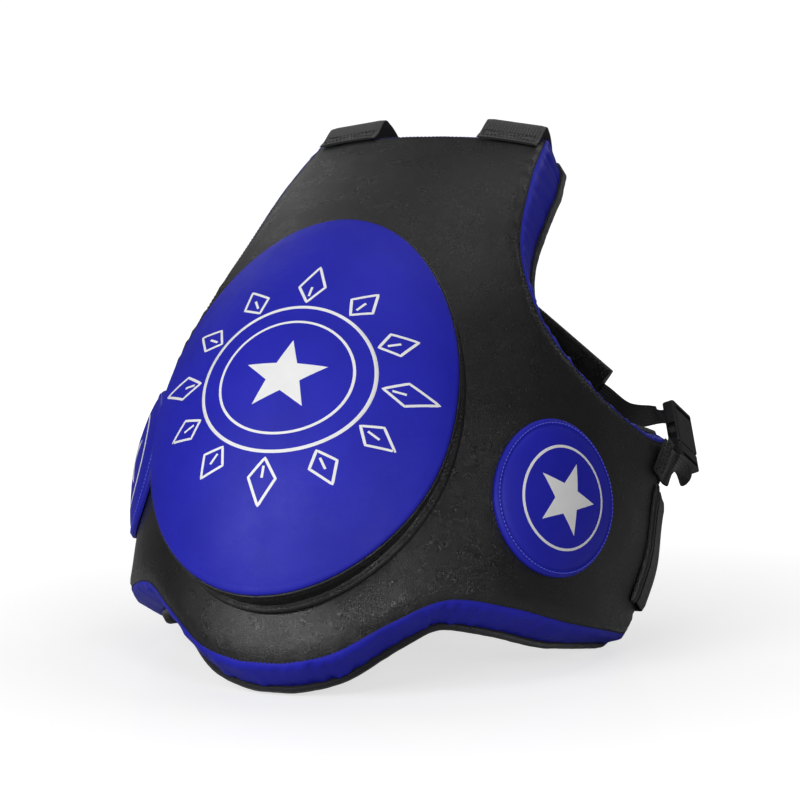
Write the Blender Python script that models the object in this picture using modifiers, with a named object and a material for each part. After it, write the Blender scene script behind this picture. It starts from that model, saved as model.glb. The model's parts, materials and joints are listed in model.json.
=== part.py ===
"""Trainer's belly pad: a wrap-around padded vest shell with a crowned belly pad, two round side patches, crossed
shoulder straps on side-release buckles, and a hook-and-loop waist belt. Metres, +Z up, the front faces -Y, and the
wearer's left is +X. The vest stands on its front lobe and its two wing corners.
"""

import math

import bmesh
import bpy
import numpy as np
from mathutils import Matrix, Vector
from mathutils.geometry import delaunay_2d_cdt

MM = 0.001

# Shell surface: a leaning spine with an elliptical section that wraps round the wearer.
FRONT_Y = -0.156  # the spine at pattern height 0
BASE_Z = 0.0968
MID_HEIGHT = 0.231  # pattern height at which the next values hold
LEAN_MID = math.radians(41.8)
LEAN_GAIN = math.radians(21.7)  # added from pattern height 0 to MID_HEIGHT, and again above it
HALF_WIDTH = (0.2105, 0.0098, 0.0368)  # constant, linear and square terms over the height
SWELL = (0.005, 0.150, 0.060)  # extra half width at the belt, the pattern height it is greatest at, and its spread
WING_ANGLE = math.radians(65)  # past this angle a wing bends less
WING_BEND = 0.72
WRAP_DEPTH = (0.1935, -0.0275, -0.0168)
PATTERN_RADIUS = 0.200  # pattern millimetres round the body per radian

# Flat pattern of the left half: across the body, and up from the datum.
NECK = ((0.000, 0.491), (0.040, 0.494), (0.078, 0.506))
ARMHOLE = ((0.078, 0.506), (0.095, 0.430), (0.123, 0.338), (0.172, 0.275), (0.240, 0.254), (0.312, 0.272), (0.373, 0.318))
REAR = ((0.373, 0.318), (0.389, 0.190), (0.393, 0.066))
HEM = (
    (0.393, 0.066),
    (0.380, 0.042),
    (0.340, 0.025),
    (0.270, 0.008),
    (0.200, 0.003),
    (0.144, -0.003),
    (0.103, -0.028),
    (0.060, -0.058),
    (0.024, -0.0690),
    (0.000, -0.0705),
)
OUTLINE_STEP = 0.015
GRID_STEP = 0.036
EDGE_CLEAR = 0.013

# Shell layers, measured inwards from the face of the front panel.
GAP = 0.4 * MM
FOAM_CLEAR = 2.8 * MM  # the foam stops this far inside the gusset
RISE = 1.6 * MM  # a flat strap clears the curved shell by this much
SKIN = 2.0 * MM
BODY_DEPTH = 32 * MM
WING_TAPER = ((0.250, 0.390), (1.0, 0.55))  # the depth's share at these distances across the pattern
OUTER_FOAM_SHARE = 0.56  # of the depth
BACK_SKIN = 3.5 * MM
NECK_BEVEL = 15 * MM  # how much further the back stands out than the front, at the neck
ARMHOLE_BEVEL = 20 * MM
ARMHOLE_LOW_BEVEL = 8 * MM  # at the armhole's lowest point
REAR_BEVEL = 4 * MM  # at the wing's top corner
WING_BEVEL = 8 * MM  # at its low corner
HEM_BEVEL = 15 * MM
LIP = 3 * MM
BINDING_WIDTH = 4 * MM
BINDING_HEIGHT = 6 * MM
GUSSET_BULGE = 2.5 * MM
HEM_SEAM = 0.046  # the hem gusset is joined here, on the wearer's right

# Belly pad: an egg, wider towards its foot.
EGG_CENTRE = 0.1415
FACE_HALF = (0.113, 0.166)
BASE_HALF = (0.122, 0.1745)
EGG_TAPER = 0.04
FLANGE_TOP = 7 * MM
FACE_EDGE = 30 * MM
FACE_CROWN = 16 * MM
PAD_WALL = 2.5 * MM

# Side patches.
PATCH_ANGLE = math.radians(63.0)
PATCH_HEIGHT = {1: 0.120, -1: 0.138}  # by side: the wearer's right patch is sewn on a little higher
PATCH_RADIUS = 0.064
PATCH_EDGE = 4 * MM
PATCH_CROWN = 6 * MM

# Harness.
WEB = 2 * MM
SHOULDER_WEB_WIDTH = 0.054
SHOULDER_X = 0.075
STRAP_FOOT = 0.486  # pattern height of the sewn end
PAD_WIDTH = 0.060
PAD_THICKNESS = 7 * MM
BACK_WEB_WIDTH = 0.030
CROSS_HALF = 0.036
CROSS_APART = 0.0145  # between the middles of the two padded straps where they cross

# Side-release buckle, along its own X (width), Y (thickness) and Z (pull).
BUCKLE_AT = Vector((0.2260, 0.207, 0.1725))
BUCKLE_PULL = Vector((-0.30, 0.45, 0.84)).normalized()
BUCKLE_WIDTH = 0.040
BUCKLE_THICK = 0.011
FEMALE_LENGTH = 0.040
MALE_LENGTH = 0.016
PRONG_LENGTH = 0.019

# Waist belt.
BELT_HEIGHT = 0.100
BELT_THICK = 3.5 * MM
BELT_MID = 0.168  # pattern height of the belt's middle on the wing's rear edge
BELT_EDGE_SCALE = 0.60  # true length per pattern length along that edge
BELT_LAP = 19 * MM  # how far the belt's sewn end lies on the wing
COVER_WIDTH = 9 * MM
COVER_HEIGHT = 4.5 * MM
BELT_Y = 0.196
BELT_Z = 0.079

# The pieces above are placed as if the vest leaned further forward. This turn about X and shift stand it on its feet.
SETTLE_TILT = math.radians(-2.759)
SETTLE_SHIFT = Vector((0.0, -0.04007, -0.005903))

BLACK_LEATHER = ("black_leather", (0.012, 0.012, 0.013), 0.42, 0.0)
BLUE_LEATHER = ("blue_leather", (0.012, 0.018, 0.48), 0.38, 0.0)
LINING = ("black_lining", (0.016, 0.016, 0.018), 0.80, 0.0)
BINDING = ("black_binding", (0.010, 0.010, 0.011), 0.60, 0.0)
WEBBING = ("black_webbing", (0.012, 0.012, 0.013), 0.75, 0.0)
ELASTIC = ("black_elastic", (0.014, 0.014, 0.016), 0.85, 0.0)
PLASTIC = ("black_plastic", (0.015, 0.015, 0.016), 0.35, 0.0)
FOAM = ("grey_foam", (0.20, 0.20, 0.21), 0.95, 0.0)
HOOK = ("hook_tape", (0.020, 0.020, 0.022), 0.90, 0.0)

LEFT, RIGHT = 1, -1
SIDE_NAMES = {LEFT: "left", RIGHT: "right"}


# ---------------------------------------------------------------- scene


def clear_scene():
    for obj in list(bpy.data.objects):
        bpy.data.objects.remove(obj)
    for collection in list(bpy.data.collections):
        bpy.data.collections.remove(collection)


def new_collection(name, cutters=False):
    collection = bpy.data.collections.new(name)
    bpy.context.scene.collection.children.link(collection)
    collection.hide_render = cutters
    return collection


def material(look):
    name, colour, roughness, metallic = look
    found = bpy.data.materials.get(name)
    if found:
        return found
    made = bpy.data.materials.new(name)
    made.use_nodes = True
    shader = made.node_tree.nodes["Principled BSDF"]
    shader.inputs["Base Color"].default_value = (*colour, 1)
    shader.inputs["Roughness"].default_value = roughness
    shader.inputs["Metallic"].default_value = metallic
    made.diffuse_color = (*colour, 1)
    return made


def add_object(name, points, faces, look, collection, smooth=True):
    mesh = bpy.data.meshes.new(name)
    mesh.from_pydata([tuple(map(float, p)) for p in points], [], [tuple(f) for f in faces])
    tidy = bmesh.new()
    tidy.from_mesh(mesh)
    bmesh.ops.remove_doubles(tidy, verts=tidy.verts, dist=0.00001)
    bmesh.ops.recalc_face_normals(tidy, faces=tidy.faces)
    tidy.to_mesh(mesh)
    tidy.free()
    mesh.materials.append(material(look))
    if smooth:
        mesh.polygons.foreach_set("use_smooth", [True] * len(mesh.polygons))
        mesh.set_sharp_from_angle(angle=math.radians(40))
    obj = bpy.data.objects.new(name, mesh)
    collection.objects.link(obj)
    return obj


# ---------------------------------------------------------------- shell surface


def over_height(terms, v):
    w = np.asarray(v) / MID_HEIGHT - 1
    return terms[0] + terms[1] * w + terms[2] * w * w


def half_width(v):
    """As over_height, but below MID_HEIGHT the square term gives way to the swell."""
    v = np.asarray(v, float)
    straight = over_height((*HALF_WIDTH[:2], 0), v)
    most, at, spread = SWELL
    above = np.clip(v / MID_HEIGHT - 1, 0, None)
    return straight + HALF_WIDTH[2] * above**2 + most * np.exp(-(((v - at) / spread) ** 2))


def round_body(angle):
    """The section's sideways and backward shares: an ellipse's up to WING_ANGLE, and a gentler bend past it."""
    past = np.clip(np.abs(angle) - WING_ANGLE, 0, None)
    turn = np.abs(angle) - past
    bent = turn + WING_BEND * past
    aside = np.sin(turn) + (np.sin(bent) - np.sin(turn)) / WING_BEND
    behind = 1 - np.cos(turn) + (np.cos(turn) - np.cos(bent)) / WING_BEND
    return np.sign(angle) * aside, behind


def surface(angle, v):
    """Points of the front panel's face at these angles round the body and pattern heights."""
    lean = LEAN_MID + LEAN_GAIN * (v / MID_HEIGHT - 1)
    foot = LEAN_MID - LEAN_GAIN
    bend = LEAN_GAIN / MID_HEIGHT
    y = FRONT_Y + (math.cos(foot) - np.cos(lean)) / bend
    z = BASE_Z + (np.sin(lean) - math.sin(foot)) / bend
    aside, behind = round_body(angle)
    back = over_height(WRAP_DEPTH, v) * behind
    x = half_width(v) * aside
    return np.stack([x, y + back * np.cos(lean), z - back * np.sin(lean)], -1)


def unit(vectors):
    return vectors / np.linalg.norm(vectors, axis=-1, keepdims=True)


def framed(angle, v):
    """The surface's points there and its outward normals."""
    angle, v = np.broadcast_arrays(np.asarray(angle, float), np.asarray(v, float))
    small = 1e-4
    across = surface(angle + small, v) - surface(angle - small, v)
    up = surface(angle, v + small) - surface(angle, v - small)
    return surface(angle, v), unit(np.cross(across, up))


def at_pattern(u, v):
    return framed(np.asarray(u, float) / PATTERN_RADIUS, v)


def at_width(x, v):
    """As framed, by distance from the middle plane, for pieces near the front."""
    return framed(np.arcsin(np.clip(np.asarray(x) / half_width(v), -1, 1)), v)


# ---------------------------------------------------------------- outline


def smooth_run(points, step):
    """An even run of points along a Catmull-Rom curve through these."""
    points = np.array(points, float)
    ends = np.vstack([2 * points[0] - points[1], points, 2 * points[-1] - points[-2]])
    dense = []
    for a, b, c, d in zip(ends, ends[1:], ends[2:], ends[3:]):
        for t in np.linspace(0, 1, 24, endpoint=False):
            dense.append(
                0.5 * (2 * b + (c - a) * t + (2 * a - 5 * b + 4 * c - d) * t**2 + (3 * b - a - 3 * c + d) * t**3)
            )
    dense = np.array([*dense, points[-1]])
    run = np.concatenate([[0], np.cumsum(np.linalg.norm(np.diff(dense, axis=0), axis=1))])
    count = max(2, round(run[-1] / step))
    at = np.linspace(0, run[-1], count + 1)
    return np.stack([np.interp(at, run, dense[:, k]) for k in (0, 1)], -1)


def half_outline():
    """The left half's outline from the neck's middle to the hem's, and where each run of it ends."""
    runs = [smooth_run(run, OUTLINE_STEP) for run in (NECK, ARMHOLE, REAR, HEM)]
    points, ends = [runs[0][0]], [0]
    for run in runs:
        points += list(run[1:])
        ends.append(len(points) - 1)
    return np.array(points), ends


def inside(point, loop):
    x, y = point
    a, b = loop, np.roll(loop, -1, axis=0)
    crosses = (a[:, 1] > y) != (b[:, 1] > y)
    with np.errstate(divide="ignore", invalid="ignore"):
        at = a[:, 0] + (y - a[:, 1]) * (b[:, 0] - a[:, 0]) / (b[:, 1] - a[:, 1])
    return np.count_nonzero(crosses & (x < at)) % 2 == 1


def clearance(point, loop):
    a, b = loop, np.roll(loop, -1, axis=0)
    along = b - a
    share = np.clip(((point - a) * along).sum(1) / (along * along).sum(1), 0, 1)
    return np.linalg.norm(a + share[:, None] * along - point, axis=1).min()


class Pattern:
    """The whole body pattern as a triangulated flat region, with its outline as a loop of vertex numbers."""

    def __init__(self):
        half, self.ends = half_outline()
        self.half = half
        middle = np.linspace(half[-1][1], half[0][1], round((half[0][1] - half[-1][1]) / GRID_STEP) + 1)[1:-1]
        loop = np.vstack([half, [(0.0, v) for v in middle]])
        rows = []
        low, high = loop.min(0), loop.max(0)
        for k, v in enumerate(np.arange(low[1], high[1], GRID_STEP * 0.87)):
            for u in np.arange(low[0] + (k % 2) * GRID_STEP / 2, high[0], GRID_STEP):
                point = np.array([u, v])
                if u > EDGE_CLEAR and inside(point, loop) and clearance(point, loop) > EDGE_CLEAR:
                    rows.append(point)
        points = np.vstack([loop, rows])
        edges = [(k, (k + 1) % len(loop)) for k in range(len(loop))]
        found = delaunay_2d_cdt([Vector(p) for p in points], edges, [], 1, 1e-6)
        flat = np.array([tuple(p) for p in found[0]])
        faces = [tuple(f) for f in found[2]]
        first = {old[0]: new for new, old in enumerate(found[3]) if old}
        right_half = [first[k] for k in range(len(half))]
        self.flat, mirrored = list(flat), {}
        for k, (u, v) in enumerate(flat):
            mirrored[k] = k if abs(u) < 1e-7 else len(self.flat)
            if mirrored[k] != k:
                self.flat.append(np.array([-u, v]))
        self.flat = np.array(self.flat)
        self.faces = faces + [tuple(mirrored[k] for k in reversed(f)) for f in faces]
        self.loop = right_half + [mirrored[k] for k in right_half[-2:0:-1]]
        self.points, self.normals = at_pattern(self.flat[:, 0], self.flat[:, 1])
        self.outward = np.zeros_like(self.points)
        rim = self.points[self.loop]
        along = unit(np.roll(rim, -1, axis=0) - np.roll(rim, 1, axis=0))
        self.outward[self.loop] = unit(np.cross(self.normals[self.loop], along))
        neck, corner, top_corner, low_corner, hem = self.ends
        armhole_low = corner + np.argmin(half[corner:top_corner, 1])
        places = [neck, corner, corner + 3, armhole_low, top_corner, low_corner, low_corner + 9, hem]
        stands = [NECK_BEVEL] * 2 + [ARMHOLE_BEVEL, ARMHOLE_LOW_BEVEL, REAR_BEVEL, WING_BEVEL] + [HEM_BEVEL] * 2
        half_bevel = np.interp(np.arange(len(half)), places, stands)
        self.bevel = np.zeros(len(self.points))
        self.bevel[self.loop] = [*half_bevel, *half_bevel[-2:0:-1]]
        self.depth = BODY_DEPTH * np.interp(np.abs(self.flat[:, 0]), *WING_TAPER)

    def rim(self, start, stop):
        """Points, normals, outward directions, bevels and depths along the outline. Negative steps are the right half."""
        order = [self.loop[k % len(self.loop)] for k in range(start, stop + 1)]
        return [part[order] for part in (self.points, self.normals, self.outward, self.bevel, self.depth)]


def layer(pattern, name, top, foot, inset, look, collection):
    """A closed layer of the shell. top and foot are each a share of the depth and a distance below that, and inset is
    how far the layer's edge lies inside the gusset's outer face.
    """
    count, points, faces = len(pattern.flat), [], []
    for share, below in (top, foot):
        depth = share * pattern.depth + below
        stand = pattern.bevel * np.minimum(depth / pattern.depth, 1) - inset
        points += list(pattern.points - depth[:, None] * pattern.normals + stand[:, None] * pattern.outward)
    faces += pattern.faces
    faces += [tuple(k + count for k in reversed(f)) for f in pattern.faces]
    for a, b in zip(pattern.loop, pattern.loop[1:] + pattern.loop[:1]):
        faces.append((a, b, b + count, a + count))
    return add_object(name, points, faces, look, collection)


def swept(rows, cyclic=False):
    """Faces that join rows of points of one length, each row a closed section, with end caps unless it is cyclic."""
    count, faces = len(rows[0]), []
    pairs = len(rows) if cyclic else len(rows) - 1
    for r in range(pairs):
        a, b = r * count, (r + 1) % len(rows) * count
        for k in range(count):
            n = (k + 1) % count
            faces.append((a + k, a + n, b + n, b + k))
    if not cyclic:
        faces.append(tuple(range(count)))
        faces.append(tuple(range((len(rows) - 1) * count, len(rows) * count))[::-1])
    return faces


def sweep(name, rows, look, collection, cyclic=False):
    points = [p for row in rows for p in row]
    return add_object(name, points, swept(rows, cyclic), look, collection)


def shortened(rim, start_gap, end_gap):
    """The stretch of outline with its ends drawn in, so that neighbours don't touch."""
    rim = [np.array(part) for part in rim]
    for index, beside, gap in ((0, 1, start_gap), (-1, -2, end_gap)):
        share = gap / np.linalg.norm(rim[0][beside] - rim[0][index])
        for part in rim:
            part[index] += share * (part[beside] - part[index])
    return rim


def gusset(pattern, name, start, stop, look, collection, bulge=GUSSET_BULGE):
    """A strip of side wall between the front panel and the back panel."""
    rows = []
    for p, n, o, bevel, foot in zip(*shortened(pattern.rim(start, stop), GAP, GAP)):
        outer, inner = [], []
        for share in np.linspace(0, 1, 5):
            depth = SKIN + GAP + share * (foot - SKIN - GAP)
            stand = bevel * depth / foot
            outer.append(p - depth * n + (stand + bulge * math.sin(math.pi * share)) * o)
            inner.append(p - depth * n + (stand - SKIN) * o)
        rows.append(outer + [inner[-1], inner[0]])
    return sweep(name, rows, look, collection)


def edge_binding(pattern, collection):
    """The binding tape round the lip of the back panel."""
    rows = []
    for p, n, o, bevel, depth in zip(*pattern.rim(0, len(pattern.loop) - 1)):
        middle_depth = depth + GAP + BACK_SKIN / 2
        stand = bevel + LIP + GAP + BINDING_WIDTH / 2
        ring = []
        for turn in math.pi / 4 + np.linspace(0, 2 * math.pi, 4, endpoint=False):
            across = BINDING_WIDTH / math.sqrt(2) * math.cos(turn)
            along = BINDING_HEIGHT / math.sqrt(2) * math.sin(turn)
            ring.append(p - (middle_depth + along) * n + (stand + across) * o)
        rows.append(ring)
    return sweep("edge_binding", rows, BINDING, collection, cyclic=True)


def make_shell(pattern, collection):
    last = len(pattern.loop)
    _, corner, top_corner, low_corner, hem = pattern.ends
    hem_flat = pattern.half[low_corner:hem]
    seam = low_corner + int(np.abs(hem_flat[:, 0] - HEM_SEAM).argmin())
    split = OUTER_FOAM_SHARE
    inset = SKIN + FOAM_CLEAR
    layer(pattern, "front_panel", (0, 0), (0, SKIN), 0, BLACK_LEATHER, collection)
    layer(pattern, "foam_outer_layer", (0, SKIN + 2 * GAP), (split, 0), inset, FOAM, collection)
    layer(pattern, "foam_inner_layer", (split, GAP), (1, -GAP), inset, FOAM, collection)
    layer(pattern, "back_panel", (1, GAP), (1, GAP + BACK_SKIN), -LIP, LINING, collection)
    edge_binding(pattern, collection)
    gusset(pattern, "gusset_neck", -corner, corner, BLUE_LEATHER, collection)
    gusset(pattern, "gusset_armhole_left", corner, top_corner, BLUE_LEATHER, collection)
    gusset(pattern, "gusset_armhole_right", last - top_corner, last - corner, BLUE_LEATHER, collection)
    gusset(pattern, "gusset_hem_left", low_corner, last - seam, BLUE_LEATHER, collection)
    gusset(pattern, "gusset_hem_right", last - seam, last - low_corner, BLUE_LEATHER, collection)
    gusset(pattern, "gusset_rear_left", top_corner, low_corner, BLACK_LEATHER, collection)
    gusset(pattern, "gusset_rear_right", last - low_corner, last - top_corner, BLACK_LEATHER, collection)


# ---------------------------------------------------------------- belly pad and side patches


def egg_ring(half, share, count=44):
    """A ring of the belly pad's outline, at this share of its size."""
    turn = np.linspace(0, 2 * math.pi, count, endpoint=False)
    across = half[0] * share * np.sin(turn) * (1 - EGG_TAPER * share * np.cos(turn))
    return across, EGG_CENTRE + half[1] * share * np.cos(turn)


def egg_points(half, share, height):
    points, normals = at_width(*egg_ring(half, share))
    return points + height * normals


def cap_mesh(name, outer, inner, look, collection):
    """A closed sheet between two stacks of rings. Each stack's first entry is its centre point."""
    points, faces = [], []
    starts = []
    for stack in (outer, inner):
        starts.append(len(points))
        points.append(stack[0])
        for ring in stack[1:]:
            points += list(ring)
    count = len(outer[1])
    for start, stack, flip in ((starts[0], outer, False), (starts[1], inner, True)):
        for k in range(count):
            n = (k + 1) % count
            tri = (start, start + 1 + k, start + 1 + n)
            faces.append(tri[::-1] if flip else tri)
        for r in range(len(stack) - 2):
            a, b = start + 1 + r * count, start + 1 + (r + 1) * count
            for k in range(count):
                n = (k + 1) % count
                quad = (a + k, b + k, b + n, a + n)
                faces.append(quad[::-1] if flip else quad)
    a = starts[0] + 1 + (len(outer) - 2) * count
    b = starts[1] + 1 + (len(inner) - 2) * count
    for k in range(count):
        n = (k + 1) % count
        faces.append((a + k, b + k, b + n, a + n))
    return add_object(name, points, faces, look, collection)


def dome(share, edge, crown):
    return edge + crown * (1 - share**2) ** 0.8


def egg_stack(half, shares, height_of):
    centre, normal = at_width(0.0, EGG_CENTRE)
    return [centre + height_of(0.0) * normal] + [egg_points(half, s, height_of(s)) for s in shares]


def make_belly_pad(collection):
    foot, flange_top = GAP, FLANGE_TOP
    wall_foot = flange_top + GAP
    wall_top = FACE_EDGE - 2 * MM
    face_half, base_half = np.array(FACE_HALF), np.array(BASE_HALF)
    wall = (PAD_WALL, PAD_WALL)
    rows = []
    outer_low = egg_points(base_half, 1, foot)
    outer_mid = egg_points(base_half, 1, flange_top * 0.6)
    outer_top = egg_points(base_half - 2 * MM, 1, flange_top)
    inner_top = egg_points(face_half - wall, 1, flange_top)
    inner_low = egg_points(face_half - wall, 1, foot)
    rows = [[a, b, c, d, e] for a, b, c, d, e in zip(outer_low, outer_mid, outer_top, inner_top, inner_low)]
    sweep("belly_pad_flange", rows, BLACK_LEATHER, collection, cyclic=True)

    low_half = face_half + 3 * MM
    rows = list(
        zip(
            egg_points(low_half, 1, wall_foot),
            egg_points(face_half + 2 * MM, 1, (wall_foot + wall_top) / 2),
            egg_points(face_half, 1, wall_top),
            egg_points(face_half - wall, 1, wall_top),
            egg_points(low_half - wall, 1, wall_foot),
        )
    )
    sweep("belly_pad_wall", [list(row) for row in rows], BLACK_LEATHER, collection, cyclic=True)

    shares = (0.25, 0.5, 0.72, 0.88, 0.96)
    edge = FACE_EDGE
    outer = egg_stack(face_half, shares, lambda s: dome(s, edge, FACE_CROWN))
    outer.append(egg_points(face_half, 1, wall_top + GAP + 1 * MM))
    inner = egg_stack(face_half - 2 * MM, shares, lambda s: dome(s, edge, FACE_CROWN) - SKIN)
    inner[-1] = egg_points(face_half - 2 * MM, 0.95, wall_top + GAP + 1.5 * MM)
    inner.append(egg_points(face_half - 2 * MM, 1, wall_top + GAP))
    cap_mesh("belly_pad_face", outer, inner, BLUE_LEATHER, collection)

    core_half = face_half - wall - GAP
    top = egg_stack(core_half, (0.3, 0.6, 0.85), lambda s: dome(s, edge, FACE_CROWN) - SKIN - 2.5 * MM)
    top.append(egg_points(core_half, 1, wall_top - GAP))
    bottom = egg_stack(core_half, (0.3, 0.6, 0.85, 1), lambda s: RISE)
    cap_mesh("belly_pad_foam", top, bottom, FOAM, collection)


def patch_points(side, radius, height, count=28):
    """A circle about the side patch's centre, laid on the shell."""
    small = 1e-3
    angle, v = side * PATCH_ANGLE, PATCH_HEIGHT[side]
    here = surface(np.array(angle), np.array(v))
    across = np.linalg.norm(surface(np.array(angle + small), np.array(v)) - here) / small
    up = np.linalg.norm(surface(np.array(angle), np.array(v + small)) - here) / small
    turn = np.linspace(0, 2 * math.pi, count, endpoint=False)
    points, normals = framed(angle + radius * np.sin(turn) / across, v + radius * np.cos(turn) / up)
    return points + height * normals


def make_side_patch(side, collection):
    name = SIDE_NAMES[side]
    centre, normal = framed(side * PATCH_ANGLE, PATCH_HEIGHT[side])
    top, edge = PATCH_EDGE + PATCH_CROWN, PATCH_EDGE
    stack = [centre + top * normal]
    stack += [patch_points(side, PATCH_RADIUS * s, h) for s, h in ((0.4, top), (0.72, top - MM), (0.84, edge))]
    stack += [patch_points(side, PATCH_RADIUS, edge - MM), patch_points(side, PATCH_RADIUS, GAP)]
    inner = [centre + (top - SKIN) * normal]
    inner += [patch_points(side, PATCH_RADIUS * s, h - SKIN) for s, h in ((0.4, top), (0.68, top - MM))]
    inner += [patch_points(side, PATCH_RADIUS * 0.79, 2.2 * MM), patch_points(side, PATCH_RADIUS * 0.8, GAP)]
    cap_mesh(f"side_patch_{name}", stack, inner, BLUE_LEATHER, collection)
    foam_top = [centre + (top - SKIN - MM) * normal]
    foam_top += [patch_points(side, PATCH_RADIUS * s, top - SKIN - MM) for s in (0.3, 0.5)]
    foam_top.append(patch_points(side, PATCH_RADIUS * 0.62, top - SKIN - 2.5 * MM))
    foam_low = [centre + MM * normal] + [patch_points(side, PATCH_RADIUS * s, MM) for s in (0.3, 0.5, 0.72)]
    cap_mesh(f"side_patch_foam_{name}", foam_top, foam_low, FOAM, collection)


# ---------------------------------------------------------------- straps


def eased(points, count):
    """A smooth run of count points through these, in three dimensions."""
    points = np.array(points, float)
    ends = np.vstack([2 * points[0] - points[1], points, 2 * points[-1] - points[-2]])
    dense = []
    for a, b, c, d in zip(ends, ends[1:], ends[2:], ends[3:]):
        for t in np.linspace(0, 1, 16, endpoint=False):
            dense.append(
                0.5 * (2 * b + (c - a) * t + (2 * a - 5 * b + 4 * c - d) * t**2 + (3 * b - a - 3 * c + d) * t**3)
            )
    dense = np.array([*dense, points[-1]])
    run = np.concatenate([[0], np.cumsum(np.linalg.norm(np.diff(dense, axis=0), axis=1))])
    at = np.linspace(0, run[-1], count)
    return np.stack([np.interp(at, run, dense[:, k]) for k in range(3)], -1)


def ribbon(name, path, across, width, thickness, look, collection):
    """A flat strap along path. across holds the direction of its width at each end, or one for each point."""
    path = np.array(path, float)
    across = np.array(across, float)
    if len(across) == 2:
        share = np.linspace(0, 1, len(path))[:, None]
        across = across[0] * (1 - share) + across[1] * share
    along = unit(np.gradient(path, axis=0))
    across = unit(across - (across * along).sum(1, keepdims=True) * along)
    through = np.cross(along, across)
    rows = []
    for p, w, t in zip(path, across, through):
        rows.append([p + width / 2 * a * w + thickness / 2 * b * t for a, b in ((-1, -1), (1, -1), (1, 1), (-1, 1))])
    return sweep(name, rows, look, collection)


def shoulder_across(side):
    """The direction of a shoulder web's width where it lies on the chest."""
    inner, outer = at_width(np.array([-0.01, 0.01]) + side * SHOULDER_X, STRAP_FOOT)[0]
    return unit(outer - inner)


def shoulder_path(side):
    """The web's middle line from its sewn foot on the chest, over the top edge and down behind it."""
    heights = np.linspace(STRAP_FOOT, NECK[-1][1] - 2 * MM, 3)
    points, normals = at_width(side * SHOULDER_X, heights)
    path = list(points + (RISE + WEB / 2) * normals)
    edge, normal = at_width(side * SHOULDER_X, NECK[-1][1] - 1 * MM)
    out = np.cross(shoulder_across(side), -normal)
    out = out if out[1] > 0 else -out
    for spread, depth in ((12, -4), (20, 3), (26, 13), (30, 25), (32, 37)):
        path.append(edge + spread * MM * out - depth * MM * normal)
    behind = path[-1]
    path.append(behind + np.array([0, 2, -9]) * MM)
    path.append(behind + np.array([0, 2, -24]) * MM)
    return np.array(path)


def strap_pad_path(side):
    """The padded strap from the opposite shoulder to the end of its padding near this side's buckle."""
    start = shoulder_path(-side)[-1]
    layer_y = -CROSS_APART / 2 if side == LEFT else CROSS_APART / 2
    behind = start + np.array([0, 5.5 * MM, 20 * MM])
    cross = np.array([0.0, start[1] + 6 * MM + layer_y, 0.3210])
    step = np.array([side * 0.142, 0.212, 0.2150])
    bend = start + np.array([side * 0.010, 6.5 * MM, -0.012])
    return eased([behind, bend, cross, (cross + step) / 2 + np.array([0, 2 * MM, 0]), step], 18)


def make_straps(collection):
    for side, name in SIDE_NAMES.items():
        ribbon(
            f"shoulder_strap_{name}",
            shoulder_path(side),
            [shoulder_across(side)] * 8 + [(1, 0, 0)] * 2,
            SHOULDER_WEB_WIDTH,
            WEB,
            WEBBING,
            collection,
        )


def make_harness(collection):
    for side, name in SIDE_NAMES.items():
        path = strap_pad_path(side)
        along = unit(np.gradient(path, axis=0))
        across = np.cross(along, [0, 1, 0])
        ribbon(f"strap_pad_{name}", path, across, PAD_WIDTH, PAD_THICKNESS, BLACK_LEATHER, collection)
        end = path[-1] + (PAD_THICKNESS / 2 + 2 * GAP + WEB / 2) * np.array([0, 1.0, 0])
        back = end - 0.020 * along[-1]
        inward = inner_face(side)
        slot = FEMALE_LENGTH - 6 * MM
        turns = ((18, 6), (11, 2), (5.5, 0), (-3, 0))
        top = [buckle_point(side, (0, inward * y * MM, slot + z * MM)) for y, z in turns]
        run = [back, end, (side * 0.170, 0.2160, 0.2000), *top]
        width_dir = np.array(buckle_matrix(side).col[0][:3])
        width_dir = width_dir * (1 if width_dir[1] > 0 else -1)
        start_dir = across[-1] * (1 if across[-1][2] > 0 else -1)
        web = eased(run, 16)
        share = np.clip((np.linspace(0, 1, 16) - 0.35) / 0.4, 0, 1)[:, None]
        turning = start_dir * (1 - share) + width_dir * share
        ribbon(f"back_web_{name}", web, turning, BACK_WEB_WIDTH, WEB, WEBBING, collection)
    behind = strap_pad_path(RIGHT)
    middle = behind[np.abs(behind[:, 0]).argmin()]
    y = middle[1] + PAD_THICKNESS / 2 + GAP + WEB / 2
    corners = [(0, CROSS_HALF), (CROSS_HALF, 0), (0, -CROSS_HALF), (-CROSS_HALF, 0)]
    rows = []
    for depth in (-WEB / 2, WEB / 2):
        rows.append([np.array([x, y + depth, middle[2] + z]) for x, z in corners])
    sweep("cross_patch", rows, BLACK_LEATHER, collection)


# ---------------------------------------------------------------- buckles


def buckle_matrix(side):
    """Places a buckle's own axes: X its width, Y its thickness, Z the pull away from the male half's bar."""
    pull = Vector((BUCKLE_PULL.x * side, BUCKLE_PULL.y, BUCKLE_PULL.z))
    width = (Vector((0, 1, 0)) - pull * pull.y).normalized()
    thick = pull.cross(width)
    at = Vector((BUCKLE_AT.x * side, BUCKLE_AT.y, BUCKLE_AT.z))
    return Matrix.Translation(at) @ Matrix((width, thick, pull)).transposed().to_4x4()


def buckle_point(side, local):
    return np.array((buckle_matrix(side) @ Vector(local))[:])


def inner_face(side):
    """The sign of the buckle's own Y on its face towards the wearer."""
    return 1 if buckle_point(side, (0, MM, 0))[0] * side < BUCKLE_AT.x else -1


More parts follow.
